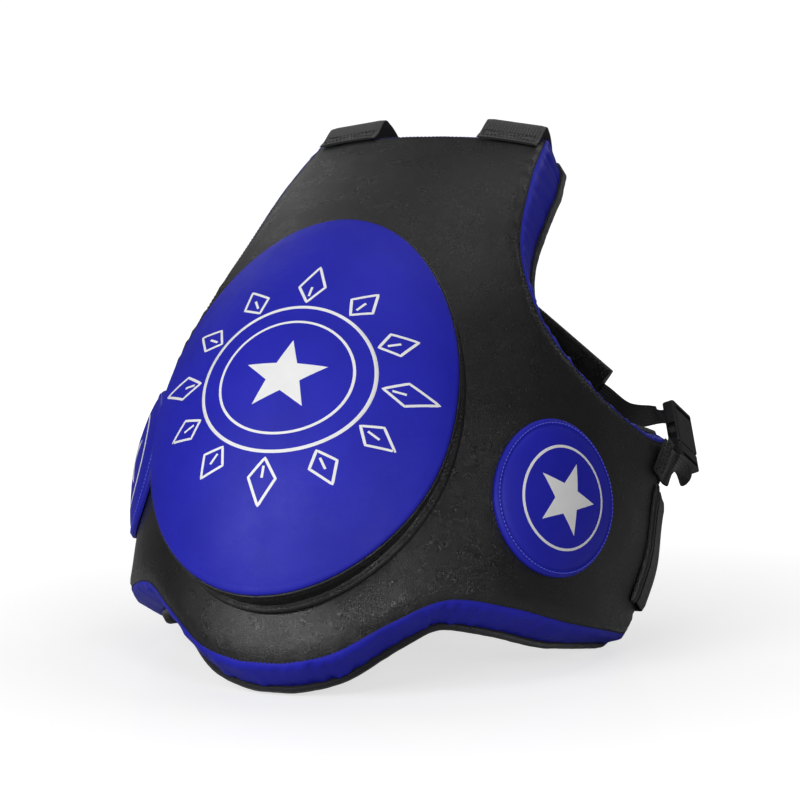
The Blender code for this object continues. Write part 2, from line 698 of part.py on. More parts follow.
def block(name, size, centre, look, collection, bevel=0.0, matrix=None):
    """A box with rounded edges, in its object's own axes, then placed by the matrix."""
    mesh = bpy.data.meshes.new(name)
    box = bmesh.new()
    bmesh.ops.create_cube(box, size=1)
    bmesh.ops.scale(box, vec=size, verts=box.verts)
    bmesh.ops.translate(box, vec=centre, verts=box.verts)
    box.to_mesh(mesh)
    box.free()
    obj = bpy.data.objects.new(name, mesh)
    collection.objects.link(obj)
    if look:
        mesh.materials.append(material(look))
    if bevel:
        rounding = obj.modifiers.new("rounding", "BEVEL")
        rounding.width = bevel
        rounding.segments = 2
        rounding.limit_method = "ANGLE"
    if matrix:
        obj.matrix_world = matrix
    return obj


def cut(obj, cutters):
    for cutter in cutters:
        boolean = obj.modifiers.new(cutter.name, "BOOLEAN")
        boolean.operation = "DIFFERENCE"
        boolean.solver = "EXACT"
        boolean.object = cutter
        cutter.display_type = "WIRE"
        cutter.hide_render = True


def make_buckle(side, collection, cutters):
    name = SIDE_NAMES[side]
    place = buckle_matrix(side)
    w, t = BUCKLE_WIDTH, BUCKLE_THICK
    length = FEMALE_LENGTH
    female = block(
        f"buckle_female_{name}", (w, t, length), (0, 0, length / 2), PLASTIC, collection, 2 * MM, place
    )
    cavity = (w - 5 * MM, t - 4 * MM, PRONG_LENGTH + 6 * MM)
    windows = (w + 10 * MM, t - 4 * MM, PRONG_LENGTH + 2.5 * MM)
    bar_slot = (BACK_WEB_WIDTH + 2 * MM, t + 10 * MM, 4 * MM)
    cut(
        female,
        [
            block(f"cavity_{name}", cavity, (0, 0, cavity[2] / 2 - 3 * MM), None, cutters, 0, place),
            block(f"windows_{name}", windows, (0, 0, windows[2] / 2 - 3 * MM), None, cutters, 0, place),
            block(f"web_slot_{name}", bar_slot, (0, 0, length - 6 * MM), None, cutters, 0, place),
        ],
    )
    male = block(
        f"buckle_male_{name}",
        (w - 2 * MM, t - 1 * MM, MALE_LENGTH),
        (0, 0, -GAP - MALE_LENGTH / 2),
        PLASTIC,
        collection,
        1.5 * MM,
        place,
    )
    male_slot = (BACK_WEB_WIDTH + 2 * MM, t + 10 * MM, 4 * MM)
    cut(male, [block(f"male_slot_{name}", male_slot, (0, 0, -MALE_LENGTH + 4.5 * MM), None, cutters, 0, place)])
    block(
        f"buckle_guide_{name}",
        (8 * MM, t - 5.5 * MM, PRONG_LENGTH + 1 * MM),
        (0, 0, (PRONG_LENGTH + 1 * MM) / 2),
        PLASTIC,
        collection,
        0.8 * MM,
        place,
    )
    for hand, where in ((1, "rear"), (-1, "front")):
        inner, outer = w / 2 - 6.5 * MM, w / 2 - 2.8 * MM
        depth = (t - 5 * MM) / 2
        outline = [
            (inner, 0.2 * MM),
            (outer, 0.2 * MM),
            (outer, 6 * MM),
            (w / 2 - 0.6 * MM, 9 * MM),
            (w / 2 + 0.4 * MM, 13 * MM),
            (w / 2 - 3.2 * MM, PRONG_LENGTH),
            (w / 2 - 6.0 * MM, PRONG_LENGTH),
            (inner, PRONG_LENGTH - 4 * MM),
        ]
        rows = [[(hand * x, y, z) for x, z in outline] for y in (-depth, depth)]
        prong = sweep(f"prong_{where}_{name}", [np.array(r) for r in rows], PLASTIC, collection)
        root = Matrix.Translation((hand * (inner + outer) / 2, 0, 0.2 * MM))
        prong.data.transform(root.inverted())
        prong.matrix_world = place @ root


def make_anchor(side, collection):
    """The short web that holds the male half, and the leather tab that sews it to the wing."""
    name = SIDE_NAMES[side]
    corner_u = REAR[0][0]
    sewn, normals = at_pattern([side * (corner_u - 0.030), side * (corner_u - 0.006)], [0.2785, 0.2880])
    foot, edge = sewn + (RISE + WEB / 2) * normals
    along = unit(edge - foot)
    leave = edge + 8 * MM * along + 3 * MM * normals[1]
    slot, inward = -MALE_LENGTH + 4.5 * MM, inner_face(side)
    turns = ((12, -10), (8.5, -3.5), (5.2, 0), (-3, 0))
    near = [buckle_point(side, (0, inward * y * MM, slot + z * MM)) for y, z in turns]
    path = eased([foot, edge, leave, *near], 18)
    share = np.clip((np.linspace(0, 1, 18) - 0.42) / 0.22, 0, 1)[:, None]
    width_dir = np.array(buckle_matrix(side).col[0][:3])
    up = np.cross(normals[1], along)
    up = up if up @ width_dir > 0 else -up
    turning = up * (1 - share) + width_dir * share
    ribbon(f"anchor_web_{name}", path, turning, BACK_WEB_WIDTH, WEB, WEBBING, collection)
    cover = path[:4] + (WEB / 2 + GAP + 0.8 * MM + 0.6 * MM) * normals[0]
    ribbon(f"anchor_tab_{name}", cover, [up, up], BACK_WEB_WIDTH + 3 * MM, 1.6 * MM, BLACK_LEATHER, collection)


# ---------------------------------------------------------------- waist belt


def thick_sheet(name, grid, thickness, look, collection):
    """A closed sheet of even thickness about a grid of points."""
    grid = np.array(grid, float)
    normals = unit(np.cross(np.gradient(grid, axis=0), np.gradient(grid, axis=1)))
    rows = []
    for points, through in zip(grid, normals):
        rows.append([*(points + thickness / 2 * through), *(points - thickness / 2 * through)[::-1]])
    return sweep(name, rows, look, collection)


BELT_UP = unit(np.array([0, 0.52, 0.86]))
BELT_BACK = unit(np.array([0, 0.86, -0.52]))


def rear_edge(side, height):
    """The wing's rear edge at this height on the belt: a point, the outward normal, and the way out of the edge."""
    v = BELT_MID + height / BELT_EDGE_SCALE
    edge, normal = at_pattern(side * REAR[1][0], v)
    above, _ = at_pattern(side * REAR[1][0], v + MM)
    out = unit(np.cross(normal, above - edge))
    return edge, normal, out if out[1] > 0 else -out


def belt_route(side, height, end_x, rise):
    """One lengthwise line of the belt, this far above its middle, from its sewn end on the wing to end_x."""
    edge, normal, out = rear_edge(side, height)
    v = BELT_MID + height / BELT_EDGE_SCALE
    laps = np.array([BELT_LAP, BELT_LAP / 2, 0])
    sewn, normals = at_pattern(side * (REAR[1][0] - laps), v)
    route = list(sewn + (BELT_THICK / 2 + 3.0 * RISE) * normals)
    for spread, depth in ((8, 3), (14.5, 9), (24, 19.5)):
        route.append(edge + spread * MM * out - depth * MM * normal)
    level = np.array([0, BELT_Y, BELT_Z]) + height * BELT_UP + rise * BELT_BACK
    bends = [x for x in (0.120, 0.060) if x > side * end_x]
    route += [level + np.array([side * x, 0, 0]) for x in bends]
    route.append(level + np.array([end_x, 0, 0]))
    fine = eased(route, 61)
    return fine[[*range(15), *range(18, 60, 6), 60]]


def make_belt_cover(side, collection):
    """The leather roll that is sewn over the belt's end on the wing."""
    rows = []
    for height in np.linspace(-0.52 * BELT_HEIGHT, 0.52 * BELT_HEIGHT, 7):
        _, _, out = rear_edge(side, height)
        middle_u = REAR[1][0] - BELT_LAP - GAP - COVER_WIDTH / 2
        middle, normal = at_pattern(side * middle_u, BELT_MID + height / BELT_EDGE_SCALE)
        ring = []
        for turn in np.linspace(0, math.pi, 7):
            ring.append(middle + COVER_WIDTH / 2 * math.cos(turn) * out + (RISE + COVER_HEIGHT * math.sin(turn)) * normal)
        rows.append(ring)
    sweep(f"belt_cover_{SIDE_NAMES[side]}", rows, BLACK_LEATHER, collection)


def make_belt(collection):
    heights = np.linspace(-BELT_HEIGHT / 2, BELT_HEIGHT / 2, 5)
    tape = 1.6 * MM
    face = BELT_THICK / 2 + GAP
    end_rise = face + 2 * tape + 2 * GAP + BELT_THICK / 2

    def belt(name, side, end_x, rise):
        grid = np.stack([belt_route(side, h, end_x, rise) for h in heights], 1)
        thick_sheet(name, grid, BELT_THICK, ELASTIC, collection)

    def band(name, low_x, high_x, rise, thickness, height, look):
        middle = np.array([0, BELT_Y, BELT_Z]) + rise * BELT_BACK
        tall = height / 2 * BELT_UP
        grid = [[middle + (x, 0, 0) - tall, middle + (x, 0, 0) + tall] for x in (low_x, high_x)]
        thick_sheet(name, grid, thickness, look, collection)

    belt("waist_belt_left", LEFT, -0.050, 0)
    belt("waist_belt_right", RIGHT, -0.0806, end_rise)
    tape_height = BELT_HEIGHT - 12 * MM
    band("loop_patch", -0.046, 0.046, face + tape / 2, tape, tape_height, HOOK)
    band("hook_patch", -0.044, 0.014, face + tape * 1.5 + GAP, tape, tape_height - 4 * MM, HOOK)
    band("waist_belt_end", -0.080, 0.020, end_rise, BELT_THICK, BELT_HEIGHT - 4 * MM, ELASTIC)


def settle(objects):
    """Tips the vest back on to its three feet, with the origin under the middle of its box."""
    place = Matrix.Translation(SETTLE_SHIFT) @ Matrix.Rotation(SETTLE_TILT, 4, "X")
    for obj in objects:
        if obj.matrix_world == Matrix():
            obj.data.transform(place)
        else:
            obj.matrix_world = place @ obj.matrix_world


def main():
    clear_scene()
    parts = new_collection("trainer_belly_pad")
    cutters = new_collection("cutters", cutters=True)
    pattern = Pattern()
    make_shell(pattern, parts)
    make_belly_pad(parts)
    make_straps(parts)
    make_harness(parts)
    for side in SIDE_NAMES:
        make_side_patch(side, parts)
        make_buckle(side, parts, cutters)
        make_anchor(side, parts)
        make_belt_cover(side, parts)
    make_belt(parts)
    settle([*parts.objects, *cutters.objects])


main()
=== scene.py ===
"""Looks of the trainer's belly pad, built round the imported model. Metres, in the row frame.

Shapes are worked out with the vest leaning as its pattern says, and every mesh is then settled on its feet.
"""

import json
import math

import bmesh
import bpy
import numpy as np
from mathutils import Matrix, Vector, noise
from mathutils.geometry import delaunay_2d_cdt


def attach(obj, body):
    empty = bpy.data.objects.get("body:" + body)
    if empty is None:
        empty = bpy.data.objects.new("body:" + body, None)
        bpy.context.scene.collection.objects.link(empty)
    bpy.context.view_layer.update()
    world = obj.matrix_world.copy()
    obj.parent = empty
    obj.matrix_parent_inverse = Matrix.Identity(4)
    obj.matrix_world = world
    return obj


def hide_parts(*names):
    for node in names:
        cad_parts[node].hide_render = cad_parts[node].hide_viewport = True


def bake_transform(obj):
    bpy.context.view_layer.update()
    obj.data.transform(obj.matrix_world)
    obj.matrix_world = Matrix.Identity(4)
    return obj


MM = 0.001
LEFT, RIGHT = 1, -1
SIDE_NAMES = {LEFT: "left", RIGHT: "right"}

# Shell surface.
FRONT_Y = -0.156
BASE_Z = 0.0968
MID_HEIGHT = 0.231
LEAN_MID = math.radians(41.8)
LEAN_GAIN = math.radians(21.7)
HALF_WIDTH = (0.2105, 0.0098, 0.0368)
SWELL = (0.005, 0.150, 0.060)
WING_ANGLE = math.radians(65)
WING_BEND = 0.72
WRAP_DEPTH = (0.1935, -0.0275, -0.0168)
PATTERN_RADIUS = 0.200

# Flat pattern of the left half.
NECK = ((0.000, 0.491), (0.040, 0.494), (0.078, 0.506))
ARMHOLE = (
    (0.078, 0.506),
    (0.095, 0.430),
    (0.123, 0.338),
    (0.172, 0.275),
    (0.240, 0.254),
    (0.312, 0.272),
    (0.373, 0.318),
)
REAR = ((0.373, 0.318), (0.389, 0.190), (0.393, 0.066))
HEM = (
    (0.393, 0.066),
    (0.380, 0.042),
    (0.340, 0.025),
    (0.270, 0.008),
    (0.200, 0.003),
    (0.144, -0.003),
    (0.103, -0.028),
    (0.060, -0.058),
    (0.024, -0.0690),
    (0.000, -0.0705),
)
CAD_STEP = 0.015
OUTLINE_STEP = 0.003
GRID_STEP = 0.0075
EDGE_CLEAR = 0.0035

# Shell layers.
GAP = 0.4 * MM
RISE = 1.6 * MM
BODY_DEPTH = 32 * MM
WING_TAPER = ((0.250, 0.390), (1.0, 0.55))
BACK_SKIN = 3.5 * MM
NECK_BEVEL = 15 * MM
ARMHOLE_BEVEL = 20 * MM
ARMHOLE_LOW_BEVEL = 8 * MM  # at the armhole's lowest point
REAR_BEVEL = 4 * MM  # at the wing's top corner
WING_BEVEL = 8 * MM  # at its low corner
HEM_BEVEL = 15 * MM
LIP = 3 * MM
BINDING_WIDTH = 4 * MM
BINDING_HEIGHT = 6 * MM
BINDING_WRAP = 0.9 * MM  # the binding folds this far over the lining's lip
NECK_WELT = 2.8 * MM
GUSSET_WELT = 1.3 * MM  # the leather is fullest beside the front seam
GUSSET_BULGE = 2.8 * MM
HEM_SEAM = 0.046  # across the pattern, on the wearer's right
LEATHER = 1.2 * MM
EDGE_DIP = 3.0 * MM
EDGE_ROUND = 10 * MM

# Belly pad and side patches.
EGG_CENTRE = 0.1415
FACE_HALF = np.array((0.113, 0.166))
BASE_HALF = np.array((0.122, 0.1745))
EGG_TAPER = 0.04
FACE_EDGE = 30 * MM
FACE_CROWN = 16 * MM
PATCH_ANGLE = math.radians(63.0)
PATCH_HEIGHT = {LEFT: 0.120, RIGHT: 0.138}
PATCH_RADIUS = 0.064

# Harness.
WEB = 2 * MM
SHOULDER_WEB_WIDTH = 0.054
SHOULDER_X = 0.075
STRAP_FOOT = 0.486
PAD_WIDTH = 0.060
PAD_THICKNESS = 7 * MM
BACK_WEB_WIDTH = 0.030
CROSS_HALF = 0.036
CROSS_APART = 0.0145
BUCKLE_AT = Vector((0.2260, 0.207, 0.1725))
BUCKLE_PULL = Vector((-0.30, 0.45, 0.84)).normalized()
FEMALE_LENGTH = 0.040
MALE_LENGTH = 0.016

# Waist belt.
BELT_HEIGHT = 0.100
BELT_THICK = 3.5 * MM
BELT_MID = 0.168
BELT_EDGE_SCALE = 0.60
BELT_LAP = 19 * MM
COVER_WIDTH = 9 * MM
COVER_HEIGHT = 4.5 * MM
BELT_Y = 0.196
BELT_Z = 0.079

# Half sections of straps: share of the half width, and share of the half thickness.
WEB_SECTION = [(-1, 0.25), (-0.975, 0.8), (-0.92, 1), (-0.6, 1), (-0.3, 1), (0, 1)]
WEB_SECTION += [(-a, b) for a, b in WEB_SECTION[-2::-1]]
PAD_SECTION = [(-1, 0.12), (-0.985, 0.45), (-0.94, 0.72), (-0.88, 0.74)]
PAD_SECTION += [(-0.80, 0.95), (-0.55, 1.08), (-0.25, 1.14), (0, 1.15)]
PAD_SECTION += [(-a, b) for a, b in PAD_SECTION[-2::-1]]
TAB_SECTION = [(-1, 0.2), (-0.97, 0.9), (-0.9, 1), (-0.82, 0.7), (-0.7, 1.1), (0, 1.3)]
TAB_SECTION += [(-a, b) for a, b in TAB_SECTION[-2::-1]]
WEB_POINTS = 60  # along a harness web or an anchor strap

# Printed marks, in millimetres.
EMBLEM_RINGS = ((47, 2.0), (61, 2.6))  # radius and line width
KITES = 12
KITE_FOOT = 66
KITE_HALF = 9.5
STAR_TIPS = (30, 12.5)  # outer and inner radius

# Studio.
FLOOR_FADE = (0.25, 0.95)  # distances from the vest where the floor's glow starts to rise and is full
FLOOR_GLOW = (0.66, 1.0)
FLOOR_REACH = 14.0
WALL_GLOW = 1.05
WALL_REACH = 12.0
WALL_HEIGHT = 9.0
WALL_SIDES = 64

# The lean and the drop that stand the vest on its feet, as in the CAD.
SETTLE = Matrix.Translation((0.0, -0.04007, -0.005903)) @ Matrix.Rotation(math.radians(-2.759), 4, "X")
SETTLE = np.array(SETTLE)


def settled(points):
    """The points as they are once the vest stands on its feet."""
    return np.asarray(points, float) @ SETTLE[:3, :3].T + SETTLE[:3, 3]


# ---------------------------------------------------------------- materials


class Look:
    """A Principled material, with helpers that add and join its nodes."""

    def __init__(self, name, roughness, **constants):
        self.material = bpy.data.materials.new(name)
        self.material.use_nodes = True
        self.tree = self.material.node_tree
        self.shader = self.tree.nodes["Principled BSDF"]
        self.shader.inputs["Roughness"].default_value = roughness
        for socket, value in constants.items():
            self.shader.inputs[socket.replace("_", " ")].default_value = value
        self.where = self.add("ShaderNodeTexCoord").outputs["Object"]

    def add(self, kind, inputs=None, **settings):
        made = self.tree.nodes.new(kind)
        for key, value in settings.items():
            setattr(made, key, value)
        for socket, value in (inputs or {}).items():
            if isinstance(value, bpy.types.NodeSocket):
                self.tree.links.new(value, made.inputs[socket])
            else:
                made.inputs[socket].default_value = value
        return made

    def noise(self, scale, detail=3, roughness=0.5, vector=None):
        inputs = {"Vector": vector or self.where, "Scale": scale, "Detail": detail, "Roughness": roughness}
        return self.add("ShaderNodeTexNoise", inputs).outputs["Fac"]

    def math(self, operation, a, b=0.0, c=0.0):
        return self.add("ShaderNodeMath", {0: a, 1: b, 2: c}, operation=operation).outputs[0]

    def spread(self, value, low, high, to_low, to_high):
        inputs = {"Value": value, "From Min": low, "From Max": high, "To Min": to_low, "To Max": to_high}
        return self.add("ShaderNodeMapRange", inputs).outputs[0]

    def colour(self, factor, first, second):
        """The base colour goes from first to second as factor goes from 0 to 1."""
        inputs = {"Factor": factor, 6: (*first, 1), 7: (*second, 1)}
        mixed = self.add("ShaderNodeMix", inputs, data_type="RGBA").outputs[2]
        self.tree.links.new(mixed, self.shader.inputs["Base Color"])

    def rough(self, value):
        self.tree.links.new(value, self.shader.inputs["Roughness"])

    def bump(self, height, distance, strength=1.0, under=None):
        inputs = {"Height": height, "Distance": distance, "Strength": strength}
        if under:
            inputs["Normal"] = under
        made = self.add("ShaderNodeBump", inputs).outputs["Normal"]
        self.tree.links.new(made, self.shader.inputs["Normal"])
        return made


def leather(name, dark, light, roughness, grain, depth, crease, specular):
    """grain is the pebbles' size, depth is their height, and crease is how strong the folds are."""
    look = Look(name, roughness, Specular_IOR_Level=specular)
    drift = look.noise(17, 4)
    look.colour(look.spread(drift, 0.32, 0.70, 0, 1), dark, light)
    look.rough(look.spread(look.noise(45, 5, 0.6), 0.3, 0.7, roughness - 0.06, roughness + 0.07))
    jitter = look.add("ShaderNodeTexNoise", {"Vector": look.where, "Scale": 420.0, "Detail": 2.0})
    shift = {0: jitter.outputs["Color"], "Scale": 1.2 * MM}
    shift = look.add("ShaderNodeVectorMath", shift, operation="SCALE").outputs[0]
    warped = look.add("ShaderNodeVectorMath", {0: look.where, 1: shift}, operation="ADD").outputs[0]
    cells = {"Vector": warped, "Scale": 1 / grain}
    cells = look.add("ShaderNodeTexVoronoi", cells, feature="DISTANCE_TO_EDGE")
    pebbles = look.spread(cells.outputs["Distance"], 0.0, 0.22, 0.0, 1.0)
    pores = look.noise(1.6 / grain, 4, 0.65)
    first = look.bump(look.math("MULTIPLY_ADD", pores, 0.45, pebbles), depth, 0.55)
    folds = look.math("ABSOLUTE", look.math("SUBTRACT", look.noise(38, 6, 0.62), 0.5))
    look.bump(look.spread(folds, 0.0, 0.10, 0.0, 1.0), 0.9 * MM, crease, first)
    return look.material


def woven(name, dark, light, roughness, pitch, ribs):
    """Webbing or tape: ribs across its width and fine yarns, from the cloth coordinates in metres. The colour
    follows the bump's height, with painted shade in the grooves between the ribs and yarns.
    """
    look = Look(name, roughness, Specular_IOR_Level=0.3, Sheen_Weight=0.25, Sheen_Roughness=0.5)
    cloth = look.add("ShaderNodeUVMap", uv_map="cloth").outputs["UV"]
    parts = look.add("ShaderNodeSeparateXYZ", {0: cloth})
    across, run = parts.outputs[0], parts.outputs[1]
    yarn = look.math("SINE", look.math("MULTIPLY", across, 2 * math.pi / ribs))
    slip = look.math("MULTIPLY_ADD", yarn, 0.25 * pitch, run)
    rib = look.math("SINE", look.math("MULTIPLY", slip, 2 * math.pi / pitch))
    weave_height_and_shade = look.math("MULTIPLY", look.math("ABSOLUTE", rib), look.math("MULTIPLY_ADD", yarn, 0.35, 0.65))
    fuzz = look.noise(2600, 3, 0.7)
    # Painted shade: the colour is darkest in the grooves, where the bump is lowest; the fuzz adds random
    # tone.
    look.colour(look.math("MULTIPLY", weave_height_and_shade, look.spread(fuzz, 0.3, 0.7, 0.7, 1.1)), dark, light)
    look.rough(look.spread(look.noise(60, 4), 0.3, 0.7, roughness - 0.08, roughness + 0.06))
    look.bump(look.math("MULTIPLY_ADD", fuzz, 0.25, weave_height_and_shade), 0.5 * MM, 0.75)
    return look.material


def lining_cloth(name, dark, light, roughness, pitch):
    look = Look(name, roughness, Specular_IOR_Level=0.25, Sheen_Weight=0.3, Sheen_Roughness=0.6)
    cells = look.add("ShaderNodeTexVoronoi", {"Vector": look.where, "Scale": 1 / pitch}).outputs["Distance"]
    look.colour(look.spread(look.noise(22, 5), 0.3, 0.7, 0, 1), dark, light)
    fuzz = look.noise(1900, 4, 0.7)
    look.bump(look.math("MULTIPLY_ADD", fuzz, 0.4, cells), 0.4 * MM, 0.5)
    return look.material


def moulded(name, colour, light, roughness):
    look = Look(name, roughness, Specular_IOR_Level=0.5, Coat_Weight=0.08, Coat_Roughness=0.3)
    look.colour(look.spread(look.noise(120, 5, 0.6), 0.35, 0.7, 0, 1), colour, light)
    look.rough(look.spread(look.noise(260, 4), 0.3, 0.7, roughness - 0.06, roughness + 0.08))
    look.bump(look.noise(1500, 3, 0.6), 0.12 * MM, 0.5)
    return look.material


def plain(name, dark, light, roughness, scale, bump, depth=0.2 * MM, **constants):
    look = Look(name, roughness, **constants)
    look.colour(look.spread(look.noise(scale, 4, 0.6), 0.3, 0.7, 0, 1), dark, light)
    look.bump(look.noise(scale * 6, 4, 0.7), depth, bump)
    return look.material


BLACK = (0.0060, 0.0060, 0.0062), (0.0120, 0.0118, 0.0118)
BLUE = (0.012, 0.014, 0.430), (0.017, 0.019, 0.510)
BLACK_LEATHER = leather("black_leather", *BLACK, 0.29, 1.3 * MM, 0.20 * MM, 0.07, 0.58)
BLUE_LEATHER = leather("blue_leather", *BLUE, 0.48, 0.9 * MM, 0.09 * MM, 0.08, 0.30)
LINING = lining_cloth("black_lining", (0.010, 0.010, 0.011), (0.021, 0.021, 0.023), 0.82, 1.6 * MM)
BINDING = woven("black_binding", (0.006, 0.006, 0.007), (0.022, 0.022, 0.024), 0.62, 1.1 * MM, 1.4 * MM)
WEBBING = woven("black_webbing", (0.005, 0.005, 0.006), (0.026, 0.026, 0.028), 0.66, 1.9 * MM, 2.6 * MM)
ELASTIC = woven("black_elastic", (0.007, 0.007, 0.008), (0.022, 0.022, 0.024), 0.78, 1.3 * MM, 3.4 * MM)
PLASTIC = moulded("black_plastic", (0.011, 0.011, 0.012), (0.019, 0.019, 0.020), 0.34)
FOAM = plain("grey_foam", (0.17, 0.17, 0.18), (0.23, 0.23, 0.24), 0.95, 90, 0.5)
HOOK = plain("hook_tape", (0.010, 0.010, 0.011), (0.030, 0.030, 0.033), 0.92, 700, 0.9, 0.8 * MM)
BLACK_THREAD = plain("black_thread", (0.010, 0.010, 0.011), (0.030, 0.030, 0.032), 0.50, 900, 0.4)
BLUE_THREAD = plain("blue_thread", (0.090, 0.110, 0.78), (0.150, 0.170, 0.92), 0.50, 900, 0.4)
WHITE_INK = plain("white_ink", (0.93, 0.93, 0.93), (0.99, 0.99, 0.99), 0.42, 60, 0.10, Specular_IOR_Level=0.5)


# ---------------------------------------------------------------- meshes


class Shape:
    """Points and faces gathered for one object, with cloth coordinates where its material needs them."""

    def __init__(self):
        self.points, self.faces, self.cloth, self.count = [], [], [], 0

    def add(self, points, faces, cloth=None):
        points = np.asarray(points, float)
        self.points.append(points)
        self.cloth.append(np.zeros((len(points), 2)) if cloth is None else np.asarray(cloth, float))
        self.faces += [tuple(k + self.count for k in face) for face in faces]
        self.count += len(points)

    def sweep(self, rows, cyclic=False, cloth=None):
        """rows is an array of closed sections, one after another along the piece."""
        rows = np.asarray(rows, float)
        count, size = rows.shape[:2]
        faces = []
        for r in range(count if cyclic else count - 1):
            a, b = r * size, (r + 1) % count * size
            faces += [(a + k, a + (k + 1) % size, b + (k + 1) % size, b + k) for k in range(size)]
        if not cyclic:
            faces.append(tuple(range(size)))
            faces.append(tuple(range((count - 1) * size, count * size))[::-1])
        self.add(rows.reshape(-1, 3), faces, None if cloth is None else np.reshape(cloth, (-1, 2)))


def build(name, shape, look, body="vest", stands_for=(), slot=None, crease=48):
    """Makes the object from the shape, settles it, and has it ride on its body.

    The slot argument is not used.
    """
    mesh = bpy.data.meshes.new(name)
    points = settled(np.concatenate(shape.points))
    mesh.from_pydata(points.tolist(), [], shape.faces)
    cloth_map = mesh.uv_layers.new(name="cloth")
    cloth = np.concatenate(shape.cloth)
    corners = np.empty(len(mesh.loops), np.int32)
    mesh.loops.foreach_get("vertex_index", corners)
    cloth_map.data.foreach_set("uv", cloth[corners].astype(np.float32).ravel())
    tidy = bmesh.new()
    tidy.from_mesh(mesh)
    bmesh.ops.recalc_face_normals(tidy, faces=tidy.faces)
    tidy.to_mesh(mesh)
    tidy.free()
    mesh.polygons.foreach_set("use_smooth", [True] * len(mesh.polygons))
    mesh.set_sharp_from_angle(angle=math.radians(crease))
    mesh.materials.append(look)
    obj = bpy.data.objects.new(name, mesh)
    bpy.context.scene.collection.objects.link(obj)
    if body:
        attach(obj, body)
    if stands_for:
        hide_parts(*stands_for)
    slot = slot or look.name
    return obj


def unit(vectors):
    return vectors / np.linalg.norm(vectors, axis=-1, keepdims=True)


def rumple(points, size, octaves=3, offset=0.0):
    """Smooth noise from about -1 to 1 at each point, with features of this size."""
    shift = Vector((offset, 1.7 * offset, -offset))
    return np.array([noise.fractal(Vector(p) / size + shift, 1.0, 2.0, octaves) for p in points])


def eased(points, count):
    """A smooth, even run of count points through these."""
    points = np.array(points, float)
    ends = np.vstack([2 * points[0] - points[1], points, 2 * points[-1] - points[-2]])
    t = np.linspace(0, 1, 24, endpoint=False)[:, None]
    dense = []
    for a, b, c, d in zip(ends, ends[1:], ends[2:], ends[3:]):
        square, cube = 2 * a - 5 * b + 4 * c - d, 3 * b - a - 3 * c + d
        dense.append(0.5 * (2 * b + (c - a) * t + square * t**2 + cube * t**3))
    dense = np.vstack([*dense, points[-1:]])
    run = lengths(dense)
    at = np.linspace(0, run[-1], count)
    return np.stack([np.interp(at, run, dense[:, k]) for k in range(points.shape[1])], -1)


def lengths(path):
    """How far along the path each of its points is."""
    return np.concatenate([[0], np.cumsum(np.linalg.norm(np.diff(path, axis=0), axis=1))])


def ribbon(shape, path, across, width, thickness, count=70, section=WEB_SECTION):
    """A flat strap along path. across is the direction of its width at each point of the path."""
    path, across = np.array(path, float), np.array(across, float)
    if len(across) == 2:
        share = np.linspace(0, 1, len(path))[:, None]
        across = across[0] * (1 - share) + across[1] * share
    old = lengths(path) / lengths(path)[-1]
    fine = eased(path, count)
    new = np.linspace(0, 1, count)
    across = np.stack([np.interp(new, old, across[:, k]) for k in range(3)], -1)
    along = unit(np.gradient(fine, axis=0))
    across = unit(across - (across * along).sum(1, keepdims=True) * along)
    through = np.cross(along, across)
    ring = section + [(a, -b) for a, b in section[::-1]]
    rows, cloth = [], []
    run = lengths(fine)
    for p, w, t, r in zip(fine, across, through, run):
        rows.append([p + width / 2 * a * w + thickness / 2 * b * t for a, b in ring])
        cloth.append([(width / 2 * a, r) for a, _ in ring])
    shape.sweep(rows, cloth=cloth)
    return fine, across, through


def draped(shape, grid, thickness):
    """A closed sheet of even thickness about a grid of points, thinner at its two long edges."""
    grid = np.array(grid, float)
    normals = unit(np.cross(np.gradient(grid, axis=0), np.gradient(grid, axis=1)))
    edge = np.ones(grid.shape[1])
    edge[[0, -1]] = 0.35
    run = lengths(grid[:, grid.shape[1] // 2])
    cross = lengths(grid[len(grid) // 2])
    rows, cloth = [], []
    for points, through, r in zip(grid, normals, run):
        half = (thickness / 2 * edge)[:, None] * through
        rows.append([*(points + half), *(points - half)[::-1]])
        cloth.append([(c, r) for c in (*cross, *cross[::-1])])
    shape.sweep(rows, cloth=cloth)


def stitched(
    shape, line, normals, pitch=4.2 * MM, length=3 * MM, radius=0.42 * MM, lift=0.25 * MM, closed=False
):
    """A row of raised thread stitches along a line."""
    line, normals = np.array(line, float), np.array(normals, float)
    if closed:
        line, normals = np.vstack([line, line[:1]]), np.vstack([normals, normals[:1]])
    run = lengths(line)
    count = max(1, int(run[-1] / pitch))
    middles = (np.arange(count) + 0.5) * run[-1] / count
    at = np.array([-0.5, -0.36, 0, 0.36, 0.5]) * length
    size = np.array([0.25, 0.85, 1, 0.85, 0.25]) * radius
    rise = np.array([-0.5, 0.35, 0.6, 0.35, -0.5]) * radius + lift

    def pick(values, where):
        return np.stack([np.interp(where, run, values[:, k]) for k in range(3)], -1)

    turn = np.linspace(0, 2 * math.pi, 6, endpoint=False)
    for middle in middles:
        centres = pick(line, middle + at)
        normal = unit(pick(normals, middle + at))
        along = unit(np.gradient(centres, axis=0))
        aside = np.cross(along, normal)
        rows = []
        for c, n, w, s, h in zip(centres, normal, aside, size, rise):
            rows.append([c + h * n + s * (math.cos(t) * n + math.sin(t) * w) for t in turn])
        shape.sweep(rows)


def piped(shape, line, normals, radius, sides=8):
    """Round piping along a closed line."""
    along = unit(np.roll(line, -1, 0) - np.roll(line, 1, 0))
    normals = unit(normals - (normals * along).sum(1, keepdims=True) * along)
    aside = np.cross(along, normals)
    turn = np.linspace(0, 2 * math.pi, sides, endpoint=False)
    rows = [line + radius * (math.cos(t) * normals + math.sin(t) * aside) for t in turn]
    shape.sweep(np.swapaxes(rows, 0, 1), cyclic=True)


# ---------------------------------------------------------------- shell surface


def over_height(terms, v):
    """A value that varies over the pattern's height v as a quadratic about its middle."""
    w = np.asarray(v) / MID_HEIGHT - 1
    return terms[0] + terms[1] * w + terms[2] * w * w


